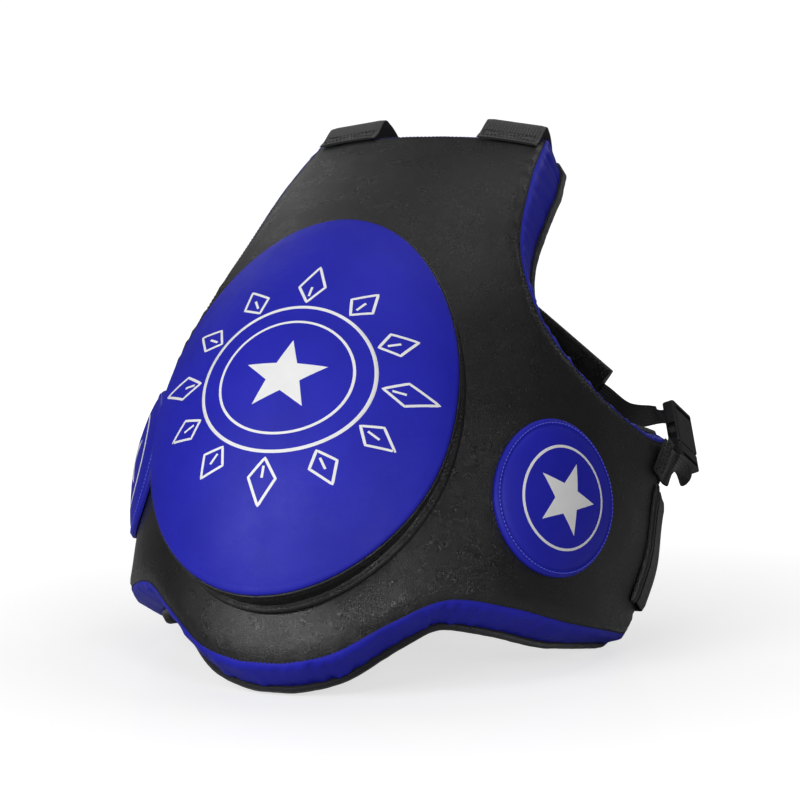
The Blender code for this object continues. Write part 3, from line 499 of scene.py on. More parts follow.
def half_width(v):
    v = np.asarray(v, float)
    straight = over_height((*HALF_WIDTH[:2], 0), v)
    most, at, spread = SWELL
    above = np.clip(v / MID_HEIGHT - 1, 0, None)
    return straight + HALF_WIDTH[2] * above**2 + most * np.exp(-(((v - at) / spread) ** 2))


def round_body(angle):
    """How far aside and how far back a body of unit size is at this angle, flatter past the wing angle."""
    past = np.clip(np.abs(angle) - WING_ANGLE, 0, None)
    turn = np.abs(angle) - past
    bent = turn + WING_BEND * past
    aside = np.sin(turn) + (np.sin(bent) - np.sin(turn)) / WING_BEND
    behind = 1 - np.cos(turn) + (np.cos(turn) - np.cos(bent)) / WING_BEND
    return np.sign(angle) * aside, behind


def surface(angle, v):
    """Points of the shell's middle surface, which the front panel lies on, before the vest is settled."""
    lean = LEAN_MID + LEAN_GAIN * (v / MID_HEIGHT - 1)
    foot = LEAN_MID - LEAN_GAIN
    bend = LEAN_GAIN / MID_HEIGHT
    y = FRONT_Y + (math.cos(foot) - np.cos(lean)) / bend
    z = BASE_Z + (np.sin(lean) - math.sin(foot)) / bend
    aside, behind = round_body(angle)
    back = over_height(WRAP_DEPTH, v) * behind
    return np.stack([half_width(v) * aside, y + back * np.cos(lean), z - back * np.sin(lean)], -1)


def framed(angle, v):
    """Points of the surface, and its outward normals."""
    angle, v = np.broadcast_arrays(np.asarray(angle, float), np.asarray(v, float))
    small = 1e-4
    across = surface(angle + small, v) - surface(angle - small, v)
    up = surface(angle, v + small) - surface(angle, v - small)
    return surface(angle, v), unit(np.cross(across, up))


def at_pattern(u, v):
    return framed(np.asarray(u, float) / PATTERN_RADIUS, v)


def at_width(x, v):
    return framed(np.arcsin(np.clip(np.asarray(x) / half_width(v), -1, 1)), v)


def smooth_run(points, step):
    dense = eased(points, 400)
    count = max(2, round(lengths(dense)[-1] / step))
    return eased(points, count + 1)


def half_outline():
    """The left half's outline from the neck's middle to the hem's, and where each of its runs ends."""
    runs = [smooth_run(run, OUTLINE_STEP) for run in (NECK, ARMHOLE, REAR, HEM)]
    points, ends = [runs[0][0]], [0]
    for run in runs:
        points += list(run[1:])
        ends.append(len(points) - 1)
    return np.array(points), ends


def inside(points, loop):
    """Which of these flat points lie inside the loop."""
    crossings = np.zeros(len(points), int)
    for (ax, ay), (bx, by) in zip(loop, np.roll(loop, -1, axis=0)):
        if ay == by:
            continue
        spans = (ay > points[:, 1]) != (by > points[:, 1])
        crossings += spans & (points[:, 0] < ax + (points[:, 1] - ay) * (bx - ax) / (by - ay))
    return crossings % 2 == 1


def nearest(points, line):
    """Each flat point's distance from the line, and how far along it the nearest place is."""
    best = np.full(len(points), 9.0)
    place = np.zeros(len(points))
    run = lengths(line)
    for k, (a, b) in enumerate(zip(line, line[1:])):
        along = b - a
        share = np.clip((points - a) @ along / (along @ along), 0, 1)
        apart = np.linalg.norm(a + share[:, None] * along - points, axis=1)
        closer = apart < best
        best[closer] = apart[closer]
        place[closer] = run[k] + share[closer] * (run[k + 1] - run[k])
    return best, place


class Pattern:
    """The whole body pattern as a triangulated flat region, with its outline as a loop of vertex numbers."""

    def __init__(self):
        half, self.ends = half_outline()
        self.half = half
        self.run = lengths(half)
        middle = np.linspace(half[-1][1], half[0][1], round((half[0][1] - half[-1][1]) / GRID_STEP) + 1)[1:-1]
        loop = np.vstack([half, [(0.0, v) for v in middle]])
        low, high = loop.min(0), loop.max(0)
        grid = []
        for k, v in enumerate(np.arange(low[1], high[1], GRID_STEP * 0.87)):
            grid += [(u, v) for u in np.arange(low[0] + (k % 2) * GRID_STEP / 2, high[0], GRID_STEP)]
        grid = np.array(grid)
        grid = grid[(grid[:, 0] > EDGE_CLEAR) & inside(grid, loop)]
        grid = grid[nearest(grid, half)[0] > EDGE_CLEAR]
        points = np.vstack([loop, grid])
        edges = [(k, (k + 1) % len(loop)) for k in range(len(loop))]
        found = delaunay_2d_cdt([Vector(p) for p in points], edges, [], 1, 1e-7)
        flat = np.array([tuple(p) for p in found[0]])
        faces = [tuple(f) for f in found[2]]
        first = {old[0]: new for new, old in enumerate(found[3]) if old}
        kept_half = [first[k] for k in range(len(half))]
        self.flat, mirrored = list(flat), {}
        for k, (u, v) in enumerate(flat):
            mirrored[k] = k if abs(u) < 1e-7 else len(self.flat)
            if mirrored[k] != k:
                self.flat.append(np.array([-u, v]))
        self.flat = np.array(self.flat)
        self.faces = faces + [tuple(mirrored[k] for k in reversed(f)) for f in faces]
        self.loop = kept_half + [mirrored[k] for k in kept_half[-2:0:-1]]
        self.points, self.normals = at_pattern(self.flat[:, 0], self.flat[:, 1])
        self.outward = np.zeros_like(self.points)
        rim = self.points[self.loop]
        along = unit(np.roll(rim, -1, axis=0) - np.roll(rim, 1, axis=0))
        self.outward[self.loop] = unit(np.cross(self.normals[self.loop], along))
        finer = CAD_STEP / OUTLINE_STEP
        neck, corner, top_corner, low_corner, hem = self.ends
        armhole_low = corner + np.argmin(half[corner:top_corner, 1])
        stands = (
            (neck, NECK_BEVEL),
            (corner, NECK_BEVEL),
            (corner + 3 * finer, ARMHOLE_BEVEL),
            (armhole_low, ARMHOLE_LOW_BEVEL),
            (top_corner, REAR_BEVEL),
            (low_corner, WING_BEVEL),
            (low_corner + 9 * finer, HEM_BEVEL),
            (hem, HEM_BEVEL),
        )
        half_bevel = np.interp(np.arange(len(half)), *zip(*stands))
        self.bevel = np.zeros(len(self.points))
        self.bevel[self.loop] = [*half_bevel, *half_bevel[-2:0:-1]]
        self.depth = BODY_DEPTH * np.interp(np.abs(self.flat[:, 0]), *WING_TAPER)
        folded = np.abs(self.flat) * (1, 0) + self.flat * (0, 1)
        self.inward, self.place = nearest(folded, half)
        turn = np.zeros(len(half))
        steps = unit(np.diff(half, axis=0))
        turn[1:-1] = np.abs(steps[:-1, 0] * steps[1:, 1] - steps[:-1, 1] * steps[1:, 0]) / OUTLINE_STEP
        self.turn = np.convolve(np.pad(turn, 8, mode="edge"), np.ones(17) / 17, "valid")

    def pucker(self, place):
        """How strongly the leather is gathered at these places along the half outline."""
        return 0.25 + 0.95 * np.clip(np.interp(place, self.run, self.turn) / 9.0, 0, 1)

    def rim(self, start, stop):
        """Points, normals, outward directions, bevels, depths, places and sides of a run of the outline."""
        order = [self.loop[k % len(self.loop)] for k in range(start, stop + 1)]
        parts = (self.points, self.normals, self.outward, self.bevel, self.depth, self.place)
        return [*(part[order] for part in parts), np.sign(self.flat[order, 0])]


def gathers(place, side, across, size=8.5 * MM):
    """Creases that run away from a seam: quick along it and slow across it. From about -1 to 1."""
    points = np.stack([place / size, across / (size * 6), side * 7.3], -1)
    return np.array([noise.noise(Vector(p)) + 0.45 * noise.noise(Vector(p) * 2.3) for p in points]) * 1.5


def panel_height(pattern):
    """How far the front panel stands above the shell's surface at each point."""
    share = 1 - np.clip(pattern.inward / EDGE_ROUND, 0, 1)
    height = -EDGE_DIP * (1 - np.sqrt(1 - share**2))
    side = np.sign(pattern.flat[:, 0])
    near = pattern.inward < 0.05
    fold = gathers(pattern.place[near], side[near], pattern.inward[near])
    strength = 0.95 * MM * pattern.pucker(pattern.place[near])
    rise = np.zeros(len(height))
    rise[near] = strength * fold * np.exp(-pattern.inward[near] / 0.011) * (pattern.inward[near] > 1e-6)
    return height + rise + 1.1 * MM * rumple(pattern.points, 0.080, 2) * np.clip(pattern.inward / 0.02, 0, 1)


def layer(pattern, height, thickness, rim_out):
    """A closed sheet whose face stands this high above the shell's surface, with its rim moved outwards."""
    shape = Shape()
    count = len(pattern.flat)
    out = rim_out[:, None] * pattern.outward
    top = pattern.points + height[:, None] * pattern.normals + out
    low = top - thickness * pattern.normals
    faces = list(pattern.faces)
    faces += [tuple(k + count for k in reversed(f)) for f in pattern.faces]
    for a, b in zip(pattern.loop, pattern.loop[1:] + pattern.loop[:1]):
        faces.append((a, b, b + count, a + count))
    cloth = np.vstack([pattern.flat, pattern.flat])
    shape.add(np.vstack([top, low]), faces, cloth)
    return shape


def gusset(pattern, name, start, stop, look, welt=GUSSET_WELT):
    """The side wall between the front panel's edge and the lining, along part of the outline."""
    rows = []
    shares = np.concatenate([[0, 0.03, 0.08], np.linspace(0.16, 0.84, 9), [0.92, 0.97, 1]])
    p, n, o, bevel, foot, place, side = pattern.rim(start, stop)
    strength = 2.3 * MM * pattern.pucker(place)
    folds = [gathers(place, side + 3, np.full(len(place), s * BODY_DEPTH), 7.5 * MM) for s in shares]
    top = EDGE_DIP + 0.2 * MM
    for k in range(len(p)):
        ring = []
        for j, share in enumerate(shares):
            depth = top + share * (foot[k] + GAP - top)
            stand = bevel[k] * depth / foot[k]
            near_seam = abs(2 * share - 1) ** 1.6
            held = (0.30 + 0.70 * near_seam) * min(1, 12 * share, 12 * (1 - share))
            fold = strength[k] * folds[j][k] * held
            bulge = GUSSET_BULGE * math.sin(math.pi * share) ** 0.62
            bulge += welt * min(1, share / 0.05) * math.exp(-((share / 0.25) ** 2))
            ring.append(p[k] - depth * n[k] + (stand + bulge + fold) * o[k])
        inner = 2.2 * MM
        ring.append(p[k] - (foot[k] + GAP) * n[k] + (bevel[k] - inner) * o[k])
        ring.append(p[k] - top * n[k] + (bevel[k] * top / foot[k] - inner) * o[k])
        rows.append(ring)
    shape = Shape()
    shape.sweep(rows)
    build(name, shape, look, stands_for=[name], crease=60)


def make_shell(pattern):
    last = len(pattern.loop)
    _, corner, top_corner, low_corner, hem = pattern.ends
    seam = low_corner + int(np.abs(pattern.half[low_corner:hem, 0] - HEM_SEAM).argmin())
    front = layer(pattern, panel_height(pattern), LEATHER, np.zeros(len(pattern.points)))
    obj = build("front_panel_leather", front, BLACK_LEATHER, stands_for=["front_panel"])

    inner = -(pattern.depth + GAP) + 0.35 * MM * rumple(pattern.points, 0.04, 3, 5.0)
    back = layer(pattern, inner, BACK_SKIN - GAP, pattern.bevel + LIP)
    obj = build("back_lining", back, LINING, stands_for=["back_panel"])

    p, n, o, bevel, depth, place, _ = pattern.rim(0, last - 1)
    ring = [(-1, -1), (-0.75, -1.2), (0.1, -1.15), (0.8, -0.75), (1, 0)]
    ring = np.array(ring + [(a, -b) for a, b in ring[-2::-1]]) * (BINDING_WIDTH / 2, BINDING_HEIGHT / 2)
    wave = 0.22 * MM * gathers(place, np.ones(len(place)), np.zeros(len(place)), 12 * MM)
    middle = depth + GAP + BACK_SKIN / 2
    stand = bevel + LIP - BINDING_WRAP + BINDING_WIDTH / 2 + wave
    run = lengths(p)
    rows, cloth = [], []
    for k in range(len(p)):
        rows.append([p[k] - (middle[k] + b) * n[k] + (stand[k] + a) * o[k] for a, b in ring])
        cloth.append([(b, run[k]) for _, b in ring])
    tape = Shape()
    tape.sweep(rows, cyclic=True, cloth=cloth)
    build("binding_tape", tape, BINDING, stands_for=["edge_binding"], crease=70)

    gusset(pattern, "gusset_neck", -corner, corner, BLUE_LEATHER, NECK_WELT)
    gusset(pattern, "gusset_armhole_left", corner, top_corner, BLUE_LEATHER)
    gusset(pattern, "gusset_armhole_right", last - top_corner, last - corner, BLUE_LEATHER)
    gusset(pattern, "gusset_hem_left", low_corner, last - seam, BLUE_LEATHER)
    gusset(pattern, "gusset_hem_right", last - seam, last - low_corner, BLUE_LEATHER)
    gusset(pattern, "gusset_rear_left", top_corner, low_corner, BLACK_LEATHER)
    gusset(pattern, "gusset_rear_right", last - low_corner, last - top_corner, BLACK_LEATHER)

    # Stitches along the front panel's edge, and along the lining's.
    seams = Shape()
    edge = p - (EDGE_DIP + 0.1 * MM) * n - 0.1 * MM * o
    stitched(seams, edge, unit(n + 0.7 * o), 3.6 * MM, 2.3 * MM, 0.46 * MM, closed=True)
    for offset, level in ((-4.5 * MM, BACK_SKIN), (LIP - 2.0 * MM, 0.0)):
        line = p - (depth[:, None] + GAP + level) * n + (bevel[:, None] + offset) * o
        stitched(seams, line, n if level == 0 else -n, closed=True, pitch=5.0 * MM)
    build("shell_stitches", seams, BLACK_THREAD, slot="black_binding")


# ---------------------------------------------------------------- belly pad


def egg_flat(half, share, turn):
    """A point of the belly pad's plan: across, and pattern height."""
    across = half[0] * share * np.sin(turn) * (1 - EGG_TAPER * share * np.cos(turn))
    return across, EGG_CENTRE + half[1] * share * np.cos(turn)


EGG_TURN = np.linspace(0, 2 * math.pi, 180, endpoint=False)


def egg_ring(half, share, height):
    """A ring of the belly pad's plan, at this share of its size and this far off the shell."""
    points, normals = at_width(*egg_flat(half, share, EGG_TURN))
    return points + height * normals


def face_height(share):
    return FACE_EDGE + FACE_CROWN * (1 - np.clip(share, 0, 1) ** 2) ** 0.8


def capped(shape, centre, rings, low_centre=None):
    """A closed piece from a centre point through rings, and back under to a low centre if there is one."""
    count = len(rings[0])
    points = [centre, *np.concatenate(rings)]
    faces = [(0, 1 + k, 1 + (k + 1) % count) for k in range(count)]
    for r in range(len(rings) - 1):
        a, b = 1 + r * count, 1 + (r + 1) * count
        faces += [(a + k, b + k, b + (k + 1) % count, a + (k + 1) % count) for k in range(count)]
    if low_centre is not None:
        points.append(low_centre)
        a = 1 + (len(rings) - 1) * count
        faces += [(a + k, len(points) - 1, a + (k + 1) % count) for k in range(count)]
    shape.add(np.array(points), faces)


def make_belly_pad():
    wall_top = FACE_EDGE - 2 * MM
    centre, normal = at_width(0.0, EGG_CENTRE)
    face = Shape()
    shares = (*np.linspace(0.05, 0.9, 18), 0.925, 0.945, 0.96, 0.97)
    rings = [egg_ring(FACE_HALF, s, face_height(s)) for s in shares]
    for inset, drop in ((2.4, 0.3), (1.4, 0.9), (0.6, 1.8), (0.25, 2.9), (0.5, 3.6), (1.6, 3.9)):
        rings.append(egg_ring(FACE_HALF - inset * MM, 1, face_height(0.97) - drop * MM))
    under = FACE_HALF - 3.5 * MM
    rings += [egg_ring(under, 1, wall_top - 0.2 * MM)]
    rings += [egg_ring(under, s, face_height(s) - 2.2 * MM) for s in (0.96, 0.8, 0.6, 0.4, 0.2)]
    capped(face, centre + face_height(0.0) * normal, rings, centre + (face_height(0.0) - 2.2 * MM) * normal)
    obj = build("belly_pad_cover", face, BLUE_LEATHER, stands_for=["belly_pad_face"], crease=75)

    wall = Shape()
    rows = []
    # How far out of the face's edge and how high each ring of the wall is, in millimetres.
    profile = ((3.0, 7.2), (2.6, 8.2), (2.9, 11), (3.0, 15), (2.4, 20), (1.3, 25), (0.3, 27.6), (-0.6, 28.2))
    middle, _ = at_width(*egg_flat(FACE_HALF, 0.5, EGG_TURN))
    for out, height in profile:
        ring = egg_ring(FACE_HALF + out * MM, 1, height * MM)
        fold = np.array([noise.noise(Vector((t * 30, height / 20, 3.0))) for t in EGG_TURN])
        away = unit(ring - middle)
        lively = 0.55 * MM * math.sin(math.pi * np.clip((height - 7) / 21, 0, 1))
        rows.append(ring + (lively * fold)[:, None] * away)
    rows.append(egg_ring(FACE_HALF - 2.5 * MM, 1, 27.6 * MM))
    rows.append(egg_ring(FACE_HALF, 1, 7.2 * MM))
    wall.sweep(np.swapaxes(rows, 0, 1), cyclic=True)
    build("belly_pad_side", wall, BLACK_LEATHER, stands_for=["belly_pad_wall"], crease=60)

    flange = Shape()
    profile = [(0.0, 0.3), (0.3, 2.0), (0.2, 3.8), (-0.6, 5.4), (-2.2, 6.5)]
    profile += [(-3.3, 6.3), (-4.2, 6.9), (-6.2, 7.1), (-9.0, 6.8), (-11, 6.6)]
    rows = [egg_ring(BASE_HALF + out * MM, 1, height * MM) for out, height in profile]
    rows.append(egg_ring(BASE_HALF - 11 * MM, 1, 0.4 * MM))
    flange.sweep(np.swapaxes(rows, 0, 1), cyclic=True)
    build("belly_pad_base", flange, BLACK_LEATHER, stands_for=["belly_pad_flange"], crease=60)

    seams = Shape()
    _, normals = at_width(*egg_flat(BASE_HALF, 1, EGG_TURN))
    stitched(seams, egg_ring(BASE_HALF - 3.3 * MM, 1, 6.2 * MM), normals, closed=True)
    low, _ = at_width(*egg_flat(FACE_HALF, 0.6, EGG_TURN))
    line = egg_ring(FACE_HALF + 1.6 * MM, 1, 24.0 * MM)
    stitched(seams, line, unit(line - low), closed=True, pitch=4.0 * MM)
    build("belly_pad_stitches", seams, BLACK_THREAD, slot="black_leather")
    piping = Shape()
    piped(piping, egg_ring(FACE_HALF + 0.4 * MM, 1, 28.1 * MM), normals, 1.1 * MM)
    build("belly_pad_piping", piping, BLACK_LEATHER)


# ---------------------------------------------------------------- printed emblem


def on_face(flat):
    """Points of the pad's face at these places in millimetres from its middle: across, and up the pattern."""
    x = flat[:, 0] * MM
    v = EGG_CENTRE + flat[:, 1] * MM
    reach = np.hypot(x / FACE_HALF[0], (v - EGG_CENTRE) / FACE_HALF[1])
    points, normals = at_width(x, v)
    return points, normals, face_height(reach)


def inked(shape, place, line, width, closed=True):
    """A printed line of this width along a flat polyline, in millimetres."""
    line = np.array(line, float)
    width = np.broadcast_to(np.asarray(width, float), len(line))
    along = np.roll(line, -1, 0) - np.roll(line, 1, 0) if closed else np.gradient(line, axis=0)
    along = unit(along)
    aside = np.stack([-along[:, 1], along[:, 0]], -1)
    columns = []
    for share, level in ((-0.5, 0.02), (-0.46, 0.16), (0.46, 0.16), (0.5, 0.02), (0, -0.3)):
        points, normals, height = place(line + (share * width)[:, None] * aside)
        columns.append(points + (height + level * MM)[:, None] * normals)
    shape.sweep(np.swapaxes(columns, 0, 1), cyclic=closed)


def circle(radius, count=160):
    turn = np.linspace(0, 2 * math.pi, count, endpoint=False)
    return radius * np.stack([np.sin(turn), np.cos(turn)], -1)


def polygon(corners, step=1.5):
    """Even points along a closed polygon."""
    corners = np.array(corners, float)
    found = []
    for a, b in zip(corners, np.roll(corners, -1, 0)):
        count = max(2, int(np.linalg.norm(b - a) / step))
        found += [a + (b - a) * t for t in np.linspace(0, 1, count, endpoint=False)]
    return np.array(found)


def turned(points, angle):
    c, s = math.cos(angle), math.sin(angle)
    return np.asarray(points) @ np.array([[c, -s], [s, c]])


def star(outer, inner, tips=5):
    corners = []
    for k in range(2 * tips):
        radius = inner if k % 2 else outer
        angle = math.pi * k / tips
        corners.append((radius * math.sin(angle), radius * math.cos(angle)))
    return np.array(corners)


def filled(shape, place, outline, rings=7):
    """A printed solid figure about its own middle."""
    shares = np.linspace(0, 1, rings + 1)[1:]
    rows = []
    for share in shares:
        points, normals, height = place(outline * share)
        rows.append(points + (height + 0.16 * MM)[:, None] * normals)
    points, normals, height = place(outline * 1.004)
    rows.append(points + (height - 0.15 * MM)[:, None] * normals)
    middle, normal, level = (part[0] for part in place(np.zeros((1, 2))))
    capped(shape, middle + (level + 0.16 * MM) * normal, rows, middle + (level - 0.3 * MM) * normal)


def make_emblem():
    ink = Shape()
    for radius, width in EMBLEM_RINGS:
        inked(ink, on_face, circle(radius), width)
    for k in range(KITES):
        angle = 2 * math.pi * k / KITES
        tall = 36 if k % 3 == 0 else 27
        widest = KITE_FOOT + 0.42 * tall
        kite = polygon([(0, KITE_FOOT), (KITE_HALF, widest), (0, KITE_FOOT + tall), (-KITE_HALF, widest)])
        inked(ink, on_face, turned(kite, angle), 2.0)
        stroke = [(0, KITE_FOOT + up) for up in (6, 9, 12, 15)]
        inked(ink, on_face, turned(stroke, angle), 1.8, closed=False)
    filled(ink, on_face, polygon(star(*STAR_TIPS)))
    build("belly_pad_emblem", ink, WHITE_INK)


# ---------------------------------------------------------------- side patches


PATCH_TURN = np.linspace(0, 2 * math.pi, 120, endpoint=False)


def on_patch(side, flat):
    """Points and normals of the shell at these places in metres from the patch's middle."""
    small = 1e-3
    angle, v = np.array(side * PATCH_ANGLE), np.array(PATCH_HEIGHT[side])
    here = surface(angle, v)
    across = np.linalg.norm(surface(angle + small, v) - here) / small
    up = np.linalg.norm(surface(angle, v + small) - here) / small
    return framed(angle + flat[:, 0] / across, v + flat[:, 1] / up)


def patch_height(share):
    """A raised middle, a stitched groove round it and a flat rim."""
    dome = 4.6 + 4.6 * (1 - np.clip(share / 0.90, 0, 1) ** 2) ** 0.55
    groove = 0.7 * np.exp(-(((share - 0.915) / 0.016) ** 2))
    edge = 1.9 * np.clip((share - 0.95) / 0.05, 0, 1) ** 2
    return (dome - groove - edge) * MM


def make_side_patch(side):
    name = SIDE_NAMES[side]

    def ring(share, height):
        flat = PATCH_RADIUS * share * np.stack([np.sin(PATCH_TURN), np.cos(PATCH_TURN)], -1)
        points, normals = on_patch(side, flat)
        return points + height * normals

    def place(flat):
        points, normals = on_patch(side, flat * MM)
        return points, normals, patch_height(np.linalg.norm(flat * MM, axis=1) / PATCH_RADIUS)

    patch = Shape()
    centre, normal = (part[0] for part in on_patch(side, np.zeros((1, 2))))
    shares = (*np.linspace(0.06, 0.80, 13), 0.84, 0.87, *np.linspace(0.885, 0.975, 10), 0.99, 1)
    rings = [ring(s, float(patch_height(s))) for s in shares]
    rings += [ring(s, 0.3 * MM) for s in (1, 0.9, 0.8)]
    rings += [ring(s, float(patch_height(s)) - 2.0 * MM) for s in (0.76, 0.6, 0.4, 0.2)]
    capped(patch, centre + patch_height(0) * normal, rings, centre + (patch_height(0) - 2 * MM) * normal)
    cover, node = f"side_patch_cover_{name}", f"side_patch_{name}"
    obj = build(cover, patch, BLUE_LEATHER, stands_for=[node], crease=75)

    seams = Shape()
    line = ring(0.942, float(patch_height(0.942)))
    _, normals = on_patch(side, 0.92 * PATCH_RADIUS * np.stack([np.sin(PATCH_TURN), np.cos(PATCH_TURN)], -1))
    stitched(seams, line, normals, closed=True, pitch=3.4 * MM, length=2.5 * MM, radius=0.50 * MM)
    build(f"side_patch_stitches_{name}", seams, BLUE_THREAD, slot="blue_leather")

    ink = Shape()
    filled(ink, place, polygon(star(*STAR_TIPS)))
    inked(ink, place, circle(41), 2.2)
    build(f"side_patch_emblem_{name}", ink, WHITE_INK)


# ---------------------------------------------------------------- straps


def shoulder_across(side):
    """The direction of the shoulder web's width."""
    inner, outer = at_width(np.array([-0.01, 0.01]) + side * SHOULDER_X, STRAP_FOOT)[0]
    return unit(outer - inner)


def shoulder_path(side):
    """From the web's foot on the chest, over the neck edge and down behind it."""
    heights = np.linspace(STRAP_FOOT, NECK[-1][1] - 2 * MM, 3)
    points, normals = at_width(side * SHOULDER_X, heights)
    path = list(points + (RISE + WEB / 2) * normals)
    edge, normal = at_width(side * SHOULDER_X, NECK[-1][1] - 1 * MM)
    out = np.cross(shoulder_across(side), -normal)
    out = out if out[1] > 0 else -out
    for spread, depth in ((12, -4), (20, 3), (26, 13), (30, 25), (32, 37)):
        path.append(edge + spread * MM * out - depth * MM * normal)
    behind = path[-1]
    path.append(behind + np.array([0, 2, -9]) * MM)
    path.append(behind + np.array([0, 2, -24]) * MM)
    return np.array(path)


def strap_pad_path(side):
    """From the other side's shoulder web, through the crossing, to this side's harness web."""
    start = shoulder_path(-side)[-1]
    layer_y = -CROSS_APART / 2 if side == LEFT else CROSS_APART / 2
    behind = start + np.array([0, 5.5 * MM, 20 * MM])
    cross = np.array([0.0, start[1] + 6 * MM + layer_y, 0.3210])
    step = np.array([side * 0.142, 0.212, 0.2150])
    bend = start + np.array([side * 0.010, 6.5 * MM, -0.012])
    return eased([behind, bend, cross, (cross + step) / 2 + np.array([0, 2 * MM, 0]), step], 18)


def stitch_box(seams, fine, across, through, low, high, half, face):
    """A box of stitches with its two diagonals, on one face of a strap, between two places along it."""
    run = lengths(fine)

    def spot(along, aside):
        parts = (fine, across, through)
        p, w, t = (np.array([np.interp(along, run, part[:, k]) for k in range(3)]) for part in parts)
        return p + aside * w + face * t, unit(t) * np.sign(face)

    corners = [(low, -half), (high, -half), (high, half), (low, half)]
    diagonals = [(corners[0], corners[2]), (corners[1], corners[3])]
    for a, b in [*zip(corners, corners[1:] + corners[:1]), *diagonals]:
        spots = [spot(*(np.array(a) * (1 - t) + np.array(b) * t)) for t in np.linspace(0, 1, 9)]
        stitched(seams, *zip(*spots), pitch=3.4 * MM, length=2.5 * MM, lift=0.05 * MM)


def make_shoulder_strap(side):
    """The web: sewn flat on the chest, over the top edge and down behind it."""
    name = SIDE_NAMES[side]
    path = shoulder_path(side)
    lines = []
    for share in np.linspace(-1, 1, 11):
        offset = share * SHOULDER_WEB_WIDTH / 2
        heights = np.linspace(STRAP_FOOT, NECK[-1][1] - 9 * MM, 3)
        points, normals = at_width(side * SHOULDER_X + offset, heights)
        hugging = points + (WEB / 2 + 0.5 * MM) * normals
        # Over the edge the web's width follows the shell, and behind it the width is level.
        away = path[3:8] + offset * shoulder_across(side)
        down = path[8:] + offset * np.array([1.0, 0, 0])
        lines.append(eased([*hugging, *away, *down], 80))
    grid = np.swapaxes(lines, 0, 1)
    web = Shape()
    draped(web, grid, WEB)
    obj = build(f"shoulder_web_{name}", web, WEBBING, stands_for=[f"shoulder_strap_{name}"])
    # The web's own end, turned under and sewn down.
    seams = Shape()
    middle = grid[:, 5]
    across = unit(grid[:, 10] - grid[:, 0])
    along = unit(np.gradient(middle, axis=0))
    through = np.cross(along, across)
    up = 1 if through[3] @ at_width(side * SHOULDER_X, STRAP_FOOT)[1] > 0 else -1
    half = SHOULDER_WEB_WIDTH / 2 - 3.5 * MM
    stitch_box(seams, middle, across, through, 3 * MM, 13 * MM, half, up * WEB / 2)
    build(f"shoulder_stitches_{name}", seams, BLACK_THREAD, slot="black_webbing")


def buckle_matrix(side):
    """The buckle's place: its width, thickness and pull are X, Y and Z."""
    pull = Vector((BUCKLE_PULL.x * side, BUCKLE_PULL.y, BUCKLE_PULL.z))
    width = (Vector((0, 1, 0)) - pull * pull.y).normalized()
    thick = pull.cross(width)
    at = Vector((BUCKLE_AT.x * side, BUCKLE_AT.y, BUCKLE_AT.z))
    return Matrix.Translation(at) @ Matrix((width, thick, pull)).transposed().to_4x4()


def buckle_point(side, local):
    return np.array((buckle_matrix(side) @ Vector(local))[:])


def into_slot(side, slot, turns):
    """A web's last points, from beside the buckle into its slot. turns are across and along it, in mm."""
    inward = 1 if buckle_point(side, (0, MM, 0))[0] * side < BUCKLE_AT.x else -1
    return [buckle_point(side, (0, inward * y * MM, slot + z * MM)) for y, z in turns]


def turn_to_buckle(side, first, count, spread):
    """Width directions of a web that turns from its first one to the buckle's."""
    last = np.array(buckle_matrix(side).col[0][:3])
    last = last * (1 if last @ first > 0 else -1)
    share = np.clip((np.linspace(0, 1, count) - 0.25) / spread, 0, 1)[:, None]
    return first * (1 - share) + last * share


def make_harness(side):
    name = SIDE_NAMES[side]
    path = strap_pad_path(side)
    along = unit(np.gradient(path, axis=0))
    across = np.cross(along, [0, 1, 0])
    pad, seams = Shape(), Shape()
    fine, wide, through = ribbon(pad, path, across, PAD_WIDTH, PAD_THICKNESS, 90, PAD_SECTION)
    cover, node = f"strap_pad_cover_{name}", f"strap_pad_{name}"
    obj = build(cover, pad, BLACK_LEATHER, stands_for=[node], crease=60)
    for share in (-0.905, 0.905):
        for face in (-1, 1):
            line = fine + share * PAD_WIDTH / 2 * wide + face * 0.68 * PAD_THICKNESS / 2 * through
            stitched(seams, line[2:-2], face * through[2:-2], pitch=4.4 * MM)
    build(f"strap_pad_stitches_{name}", seams, BLACK_THREAD, slot="black_leather")

    # The web, from behind the pad's end to the slot of the female half.
    end = path[-1] + np.array([0, PAD_THICKNESS / 2 + 2 * GAP + WEB / 2, 0])
    back = end - 0.020 * along[-1]
    top = into_slot(side, FEMALE_LENGTH - 6 * MM, ((18, 6), (11, 2), (5.5, 0), (-3, 0)))
    web = eased([back, end, (side * 0.170, 0.2160, 0.2000), *top], 16)
    turning = turn_to_buckle(side, across[-1], 16, 0.60)
    tape = Shape()
    middle, _, _ = ribbon(tape, web, turning, BACK_WEB_WIDTH, WEB, WEB_POINTS)
    node = f"back_web_{name}"
    obj = build(f"harness_web_{name}", tape, WEBBING, body=None, stands_for=[node])
    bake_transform(obj)


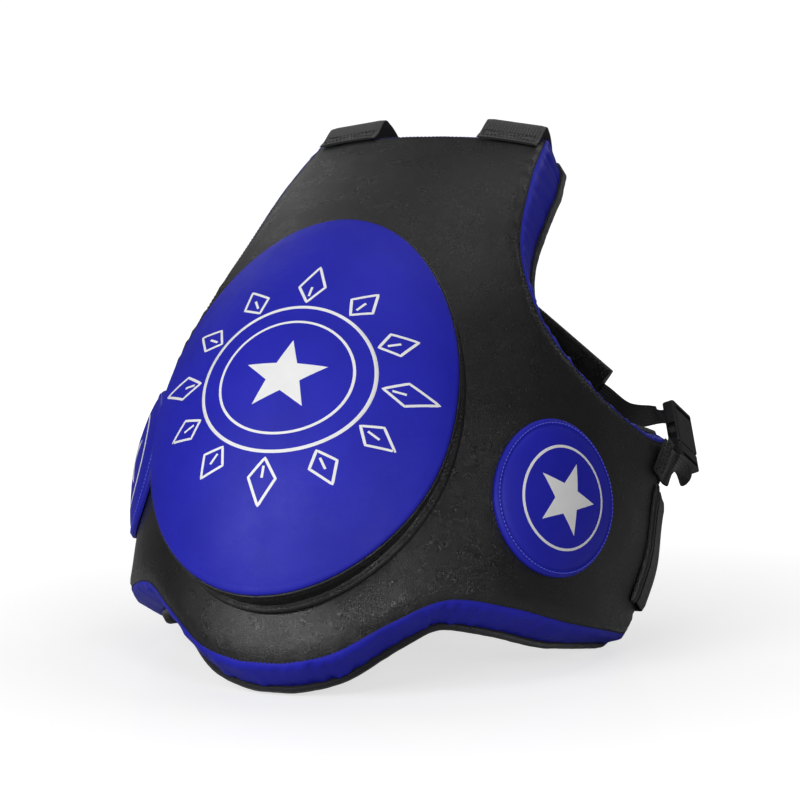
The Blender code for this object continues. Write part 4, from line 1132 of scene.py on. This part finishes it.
def make_cross_patch():
    behind = strap_pad_path(RIGHT)
    middle = behind[np.abs(behind[:, 0]).argmin()]
    y = middle[1] + PAD_THICKNESS / 2 * 1.15 + GAP + 0.8 * MM
    outline = polygon(np.array([(0, 1), (1, 0), (0, -1), (-1, 0)]) * CROSS_HALF, 2 * MM)
    reach = np.linalg.norm(outline, axis=1, keepdims=True) / CROSS_HALF
    outline = outline * (1 - 0.06 * reach**6)

    def ring(share, level):
        return np.insert(outline * share, 1, level * MM, axis=1) + (0, y, middle[2])

    patch = Shape()
    profile = [(0.2, 1.2), (0.5, 1.1), (0.8, 0.9), (0.9, 0.5), (0.95, 0.8)]
    profile += [(0.985, 0.4), (1, -0.4), (0.98, -0.8), (0.5, -0.8)]
    rings = [ring(share, level) for share, level in profile]
    capped(patch, np.array([0, y + 1.2 * MM, middle[2]]), rings, np.array([0, y - 0.8 * MM, middle[2]]))
    build("cross_patch_leather", patch, BLACK_LEATHER, stands_for=["cross_patch"])
    seams = Shape()
    stitched(seams, ring(0.9, 0.5), np.tile([0.0, 1, 0], (len(outline), 1)), closed=True)
    build("cross_patch_stitches", seams, BLACK_THREAD, slot="black_leather")


def make_anchor(side):
    name = SIDE_NAMES[side]
    corner_u = REAR[0][0]
    sewn, normals = at_pattern([side * (corner_u - 0.030), side * (corner_u - 0.006)], [0.2785, 0.2880])
    foot, edge = sewn + (RISE + WEB / 2) * normals
    along = unit(edge - foot)
    leave = edge + 8 * MM * along + 3 * MM * normals[1]
    near = into_slot(side, -MALE_LENGTH + 4.5 * MM, ((10, -6), (7, -2.5), (4.5, 0), (-3, 0)))
    path = eased([foot, edge, leave, *near], 18)
    up = np.cross(normals[1], along)
    up = up if up @ np.array(buckle_matrix(side).col[0][:3]) > 0 else -up
    web = Shape()
    fine, _, _ = ribbon(web, path, turn_to_buckle(side, up, 18, 0.55), BACK_WEB_WIDTH, WEB, WEB_POINTS)
    obj = build(f"anchor_strap_{name}", web, WEBBING, stands_for=[f"anchor_web_{name}"])
    length = float(lengths(fine)[-1])
    cover = path[:4] + (WEB / 2 + GAP + 1.4 * MM) * normals[0]
    tab_width = BACK_WEB_WIDTH + 3 * MM
    tab, seams = Shape(), Shape()
    fine, wide, through = ribbon(tab, cover, [up, up], tab_width, 1.6 * MM, 40, TAB_SECTION)
    leather_name, node = f"anchor_tab_leather_{name}", f"anchor_tab_{name}"
    build(leather_name, tab, BLACK_LEATHER, stands_for=[node], crease=65)
    face = 1 if through[0] @ normals[0] > 0 else -1
    half = tab_width / 2 * 0.8
    length = float(lengths(fine)[-1])
    stitch_box(seams, fine, wide, through, 2.5 * MM, length - 2.5 * MM, half, face * 0.9 * MM)
    build(f"anchor_stitches_{name}", seams, BLACK_THREAD, slot="black_leather")


# ---------------------------------------------------------------- waist belt

BELT_UP = unit(np.array([0, 0.52, 0.86]))
BELT_BACK = unit(np.array([0, 0.86, -0.52]))


def rear_edge(side, height):
    """Where the belt's line of this height leaves the wing: the point, its normal and the way out."""
    v = BELT_MID + height / BELT_EDGE_SCALE
    edge, normal = at_pattern(side * REAR[1][0], v)
    above, _ = at_pattern(side * REAR[1][0], v + MM)
    out = unit(np.cross(normal, above - edge))
    return edge, normal, out if out[1] > 0 else -out


def belt_route(side, height, end_x, rise, count=100):
    """One line of the belt at this height, from its seam on the wing round the back to end_x."""
    edge, normal, out = rear_edge(side, height)
    v = BELT_MID + height / BELT_EDGE_SCALE
    laps = np.array([BELT_LAP, BELT_LAP / 2, 0])
    sewn, normals = at_pattern(side * (REAR[1][0] - laps), v)
    route = list(sewn + (BELT_THICK / 2 + np.array([[0.9], [1.2], [1.8]]) * RISE) * normals)
    for spread, depth in ((8, 3), (14.5, 9), (24, 19.5)):
        route.append(edge + spread * MM * out - depth * MM * normal)
    level = np.array([0, BELT_Y, BELT_Z]) + height * BELT_UP + rise * BELT_BACK
    route += [level + np.array([side * x, 0, 0]) for x in (0.120, 0.060) if x > side * end_x]
    route.append(level + np.array([end_x, 0, 0]))
    return eased(route, count)


def band(name, low_x, high_x, rise, thickness, height, look, body, stands_for, count=30):
    """A flat piece of the belt's closure."""
    middle = np.array([0, BELT_Y, BELT_Z]) + rise * BELT_BACK
    xs = np.linspace(low_x, high_x, count)
    tall = np.linspace(-height / 2, height / 2, 13)
    grid = [[middle + (x, 0, 0) + h * BELT_UP for h in tall] for x in xs]
    sheet = Shape()
    draped(sheet, grid, thickness)
    obj = build(name, sheet, look, body=body, stands_for=[stands_for])


def belt_piece(name, side, end_x, rise, stands_for):
    heights = np.linspace(-BELT_HEIGHT / 2, BELT_HEIGHT / 2, 21)
    grid = np.stack([belt_route(side, h, end_x, rise) for h in heights], 1)
    sheet = Shape()
    draped(sheet, grid, BELT_THICK)
    body = "vest" if side == LEFT else None
    obj = build(name, sheet, ELASTIC, body=body, stands_for=[stands_for])
    if side == RIGHT:
        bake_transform(obj)


def make_belt():
    tape = 1.6 * MM
    face = BELT_THICK / 2 + GAP
    end_rise = face + 2 * tape + 2 * GAP + BELT_THICK / 2
    belt_piece("waist_band_left", LEFT, -0.050, 0, "waist_belt_left")
    belt_piece("waist_band_right", RIGHT, -0.0806, end_rise, "waist_belt_right")
    tall = BELT_HEIGHT - 12 * MM
    loop = ("loop_tape", -0.046, 0.046, face + tape / 2, tape, tall)
    band(*loop, HOOK, "vest", "loop_patch")
    hook = ("hook_tape", -0.044, 0.014, face + tape * 1.5 + GAP, tape, tall - 4 * MM)
    band(*hook, HOOK, "belt_end", "hook_patch")
    end = ("waist_band_end", -0.080, 0.020, end_rise, BELT_THICK, BELT_HEIGHT - 4 * MM)
    band(*end, ELASTIC, "belt_end", "waist_belt_end")
    seams = Shape()
    middle = np.array([0, BELT_Y, BELT_Z]) + (end_rise + BELT_THICK / 2) * BELT_BACK
    corners = [(-0.041, -0.042), (0.012, -0.042), (0.012, 0.042), (-0.041, 0.042)]
    outline = polygon(corners, 2 * MM)
    line = middle + outline[:, :1] * np.array([1.0, 0, 0]) + outline[:, 1:] * BELT_UP
    stitched(seams, line, np.tile(BELT_BACK, (len(line), 1)), closed=True, lift=0.05 * MM)
    build("belt_end_stitches", seams, BLACK_THREAD, body="belt_end", slot="black_elastic")


def make_belt_cover(side):
    """The leather roll that is sewn over the belt's end."""
    rows = []
    heights = np.linspace(-0.52 * BELT_HEIGHT, 0.52 * BELT_HEIGHT, 60)
    line, normals = [], []
    for k, height in enumerate(heights):
        _, _, out = rear_edge(side, height)
        middle_u = REAR[1][0] - BELT_LAP - GAP - COVER_WIDTH / 2
        middle, normal = at_pattern(side * middle_u, BELT_MID + height / BELT_EDGE_SCALE)
        fold = 0.35 * MM * noise.noise(Vector((k * 0.31, side, 0.4)))
        end = min(1, (min(k, len(heights) - 1 - k) + 1.5) / 5)
        ring = []
        for turn in np.linspace(0, math.pi, 13):
            swell = COVER_HEIGHT * end**0.5 * math.sin(turn) ** 0.8 + fold * math.sin(turn)
            ring.append(middle + COVER_WIDTH / 2 * math.cos(turn) * out + (GAP + swell) * normal)
        rows.append(ring)
        line.append(middle - (COVER_WIDTH / 2 + 1.8 * MM) * out + 0.2 * MM * normal)
        normals.append(normal)
    roll, seams = Shape(), Shape()
    roll.sweep(rows)
    name = SIDE_NAMES[side]
    node = f"belt_cover_{name}"
    build(f"belt_roll_{name}", roll, BLACK_LEATHER, stands_for=[node], crease=60)
    stitched(seams, line, normals)
    build(f"belt_roll_stitches_{name}", seams, BLACK_THREAD, slot="black_leather")


# ---------------------------------------------------------------- carried-over nodes and the studio


def repaint(nodes):
    """Gives the CAD nodes that stay visible their looks."""
    looks = {"black_plastic": PLASTIC, "grey_foam": FOAM}
    slots = {part["node"]: part["material_slot"] for part in frame["record"]["subparts"]}
    for name, node in nodes.items():
        look = looks.get(slots.get(name))
        if look is None or node.hide_render:
            continue
        node.data.materials.clear()
        node.data.materials.append(look)


def area_light(name, place, aim, size, power):
    data = bpy.data.lights.new(name, "AREA")
    data.shape = "RECTANGLE"
    data.size, data.size_y = size
    data.energy = power
    light = bpy.data.objects.new(name, data)
    light.location = place
    light.rotation_euler = (Vector(aim) - Vector(place)).to_track_quat("-Z", "Y").to_euler()
    bpy.context.scene.collection.objects.link(light)


def camera_glow(tree, strength):
    """Light that only the camera sees. strength is a number or a node's output."""
    glow = tree.nodes.new("ShaderNodeEmission")
    rays = tree.nodes.new("ShaderNodeLightPath")
    power = tree.nodes.new("ShaderNodeMath")
    power.operation = "MULTIPLY"
    if isinstance(strength, bpy.types.NodeSocket):
        tree.links.new(strength, power.inputs[1])
    else:
        power.inputs[1].default_value = strength
    tree.links.new(rays.outputs["Is Camera Ray"], power.inputs[0])
    tree.links.new(power.outputs[0], glow.inputs["Strength"])
    return glow.outputs[0]


def studio_piece(name, points, faces):
    """A floor or wall of the studio. Returns it with its material's empty tree and that tree's output."""
    material = bpy.data.materials.new(name)
    material.use_nodes = True
    tree = material.node_tree
    tree.nodes.clear()
    mesh = bpy.data.meshes.new(name)
    mesh.from_pydata(points, [], faces)
    mesh.materials.append(material)
    obj = bpy.data.objects.new(name, mesh)
    bpy.context.scene.collection.objects.link(obj)
    return obj, tree, tree.nodes.new("ShaderNodeOutputMaterial").inputs["Surface"]


def make_backdrop():
    """A white wall all round, which lights nothing and shows in no reflection."""
    turn = np.linspace(0, 2 * math.pi, WALL_SIDES, endpoint=False)
    ring = WALL_REACH * np.stack([np.cos(turn), np.sin(turn)], -1)
    points = np.vstack([np.column_stack([ring, np.full(WALL_SIDES, z)]) for z in (-0.1, WALL_HEIGHT)])
    after = [(k + 1) % WALL_SIDES for k in range(WALL_SIDES)]
    faces = [(k, after[k], after[k] + WALL_SIDES, k + WALL_SIDES) for k in range(WALL_SIDES)]
    wall, tree, out = studio_piece("studio_wall", points.tolist(), faces)
    tree.links.new(camera_glow(tree, WALL_GLOW), out)
    for rays in ("diffuse", "glossy", "transmission", "shadow", "volume_scatter"):
        setattr(wall, f"visible_{rays}", False)


def make_floor():
    """A pale, slightly glossy floor that glows to white away from the vest."""
    corners = [(x * FLOOR_REACH, y * FLOOR_REACH, 0) for x, y in ((-1, -1), (1, -1), (1, 1), (-1, 1))]
    _, tree, out = studio_piece("studio_floor", corners, [(0, 1, 2, 3)])
    diffuse = tree.nodes.new("ShaderNodeBsdfDiffuse")
    diffuse.inputs["Color"].default_value = (0.55, 0.55, 0.55, 1)
    gloss = tree.nodes.new("ShaderNodeBsdfGlossy")
    gloss.inputs["Roughness"].default_value = 0.12
    mix = tree.nodes.new("ShaderNodeMixShader")
    mix.inputs[0].default_value = 0.14
    tree.links.new(diffuse.outputs[0], mix.inputs[1])
    tree.links.new(gloss.outputs[0], mix.inputs[2])
    place = tree.nodes.new("ShaderNodeTexCoord")
    away = tree.nodes.new("ShaderNodeVectorMath")
    away.operation = "LENGTH"
    tree.links.new(place.outputs["Object"], away.inputs[0])
    fade = tree.nodes.new("ShaderNodeMapRange")
    tree.links.new(away.outputs["Value"], fade.inputs["Value"])
    for socket, value in zip(("From Min", "From Max", "To Min", "To Max"), (*FLOOR_FADE, *FLOOR_GLOW)):
        fade.inputs[socket].default_value = value
    lit = tree.nodes.new("ShaderNodeAddShader")
    tree.links.new(mix.outputs[0], lit.inputs[0])
    tree.links.new(camera_glow(tree, fade.outputs[0]), lit.inputs[1])
    tree.links.new(lit.outputs[0], out)


def make_studio():
    make_floor()
    make_backdrop()
    world = bpy.data.worlds.new("studio")
    bpy.context.scene.world = world
    world.use_nodes = True
    sky = world.node_tree.nodes["Background"]
    sky.inputs["Color"].default_value = (1.0, 1.0, 1.0, 1)
    sky.inputs["Strength"].default_value = 0.10
    area_light("key", (-1.0, -1.9, 1.7), (0, 0, 0.2), (0.9, 0.9), 8)
    area_light("top", (0.1, 0.2, 2.4), (0, 0, 0.2), (1.6, 1.6), 6.5)
    area_light("front_right", (1.7, -2.0, 1.0), (0.1, 0, 0.2), (0.7, 0.7), 15)
    area_light("low_left", (-0.75, -2.2, 1.05), (0, -0.1, 0.1), (1.8, 0.35), 26)
    area_light("rear_left", (-1.6, 1.4, 1.5), (0, 0.1, 0.2), (0.8, 0.8), 2.4)
    area_light("rear", (0.5, 2.3, 1.6), (0, 0.1, 0.2), (0.8, 0.8), 4)

    camera = bpy.data.cameras.new("camera")
    camera.sensor_width = 36
    camera.lens = 120.58
    camera.clip_end = 60
    viewer = bpy.data.objects.new("camera", camera)
    right = Vector((0.92656, 0.37588, -0.01405)).normalized()
    back = Vector((0.37512, -0.92061, 0.10843)).normalized()
    turn = Matrix((right, back.cross(right), back)).transposed().to_4x4()
    viewer.matrix_world = Matrix.Translation((0.8683, -2.0499, 0.4541)) @ turn
    bpy.context.scene.collection.objects.link(viewer)
    bpy.context.scene.camera = viewer
    bpy.context.scene.view_settings.view_transform = "Standard"


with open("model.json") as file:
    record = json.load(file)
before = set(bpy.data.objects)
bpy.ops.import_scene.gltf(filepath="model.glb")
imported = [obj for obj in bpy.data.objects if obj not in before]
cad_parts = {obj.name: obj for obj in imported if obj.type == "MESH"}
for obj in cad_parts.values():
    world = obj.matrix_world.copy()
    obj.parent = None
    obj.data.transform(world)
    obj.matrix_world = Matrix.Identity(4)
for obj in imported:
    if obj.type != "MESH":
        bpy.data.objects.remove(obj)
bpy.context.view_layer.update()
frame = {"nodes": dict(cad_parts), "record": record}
pattern = Pattern()
make_shell(pattern)
make_belly_pad()
make_emblem()
for which in (LEFT, RIGHT):
    make_side_patch(which)
    make_shoulder_strap(which)
    make_harness(which)
    make_anchor(which)
    make_belt_cover(which)
make_cross_patch()
make_belt()
repaint(frame["nodes"])
make_studio()
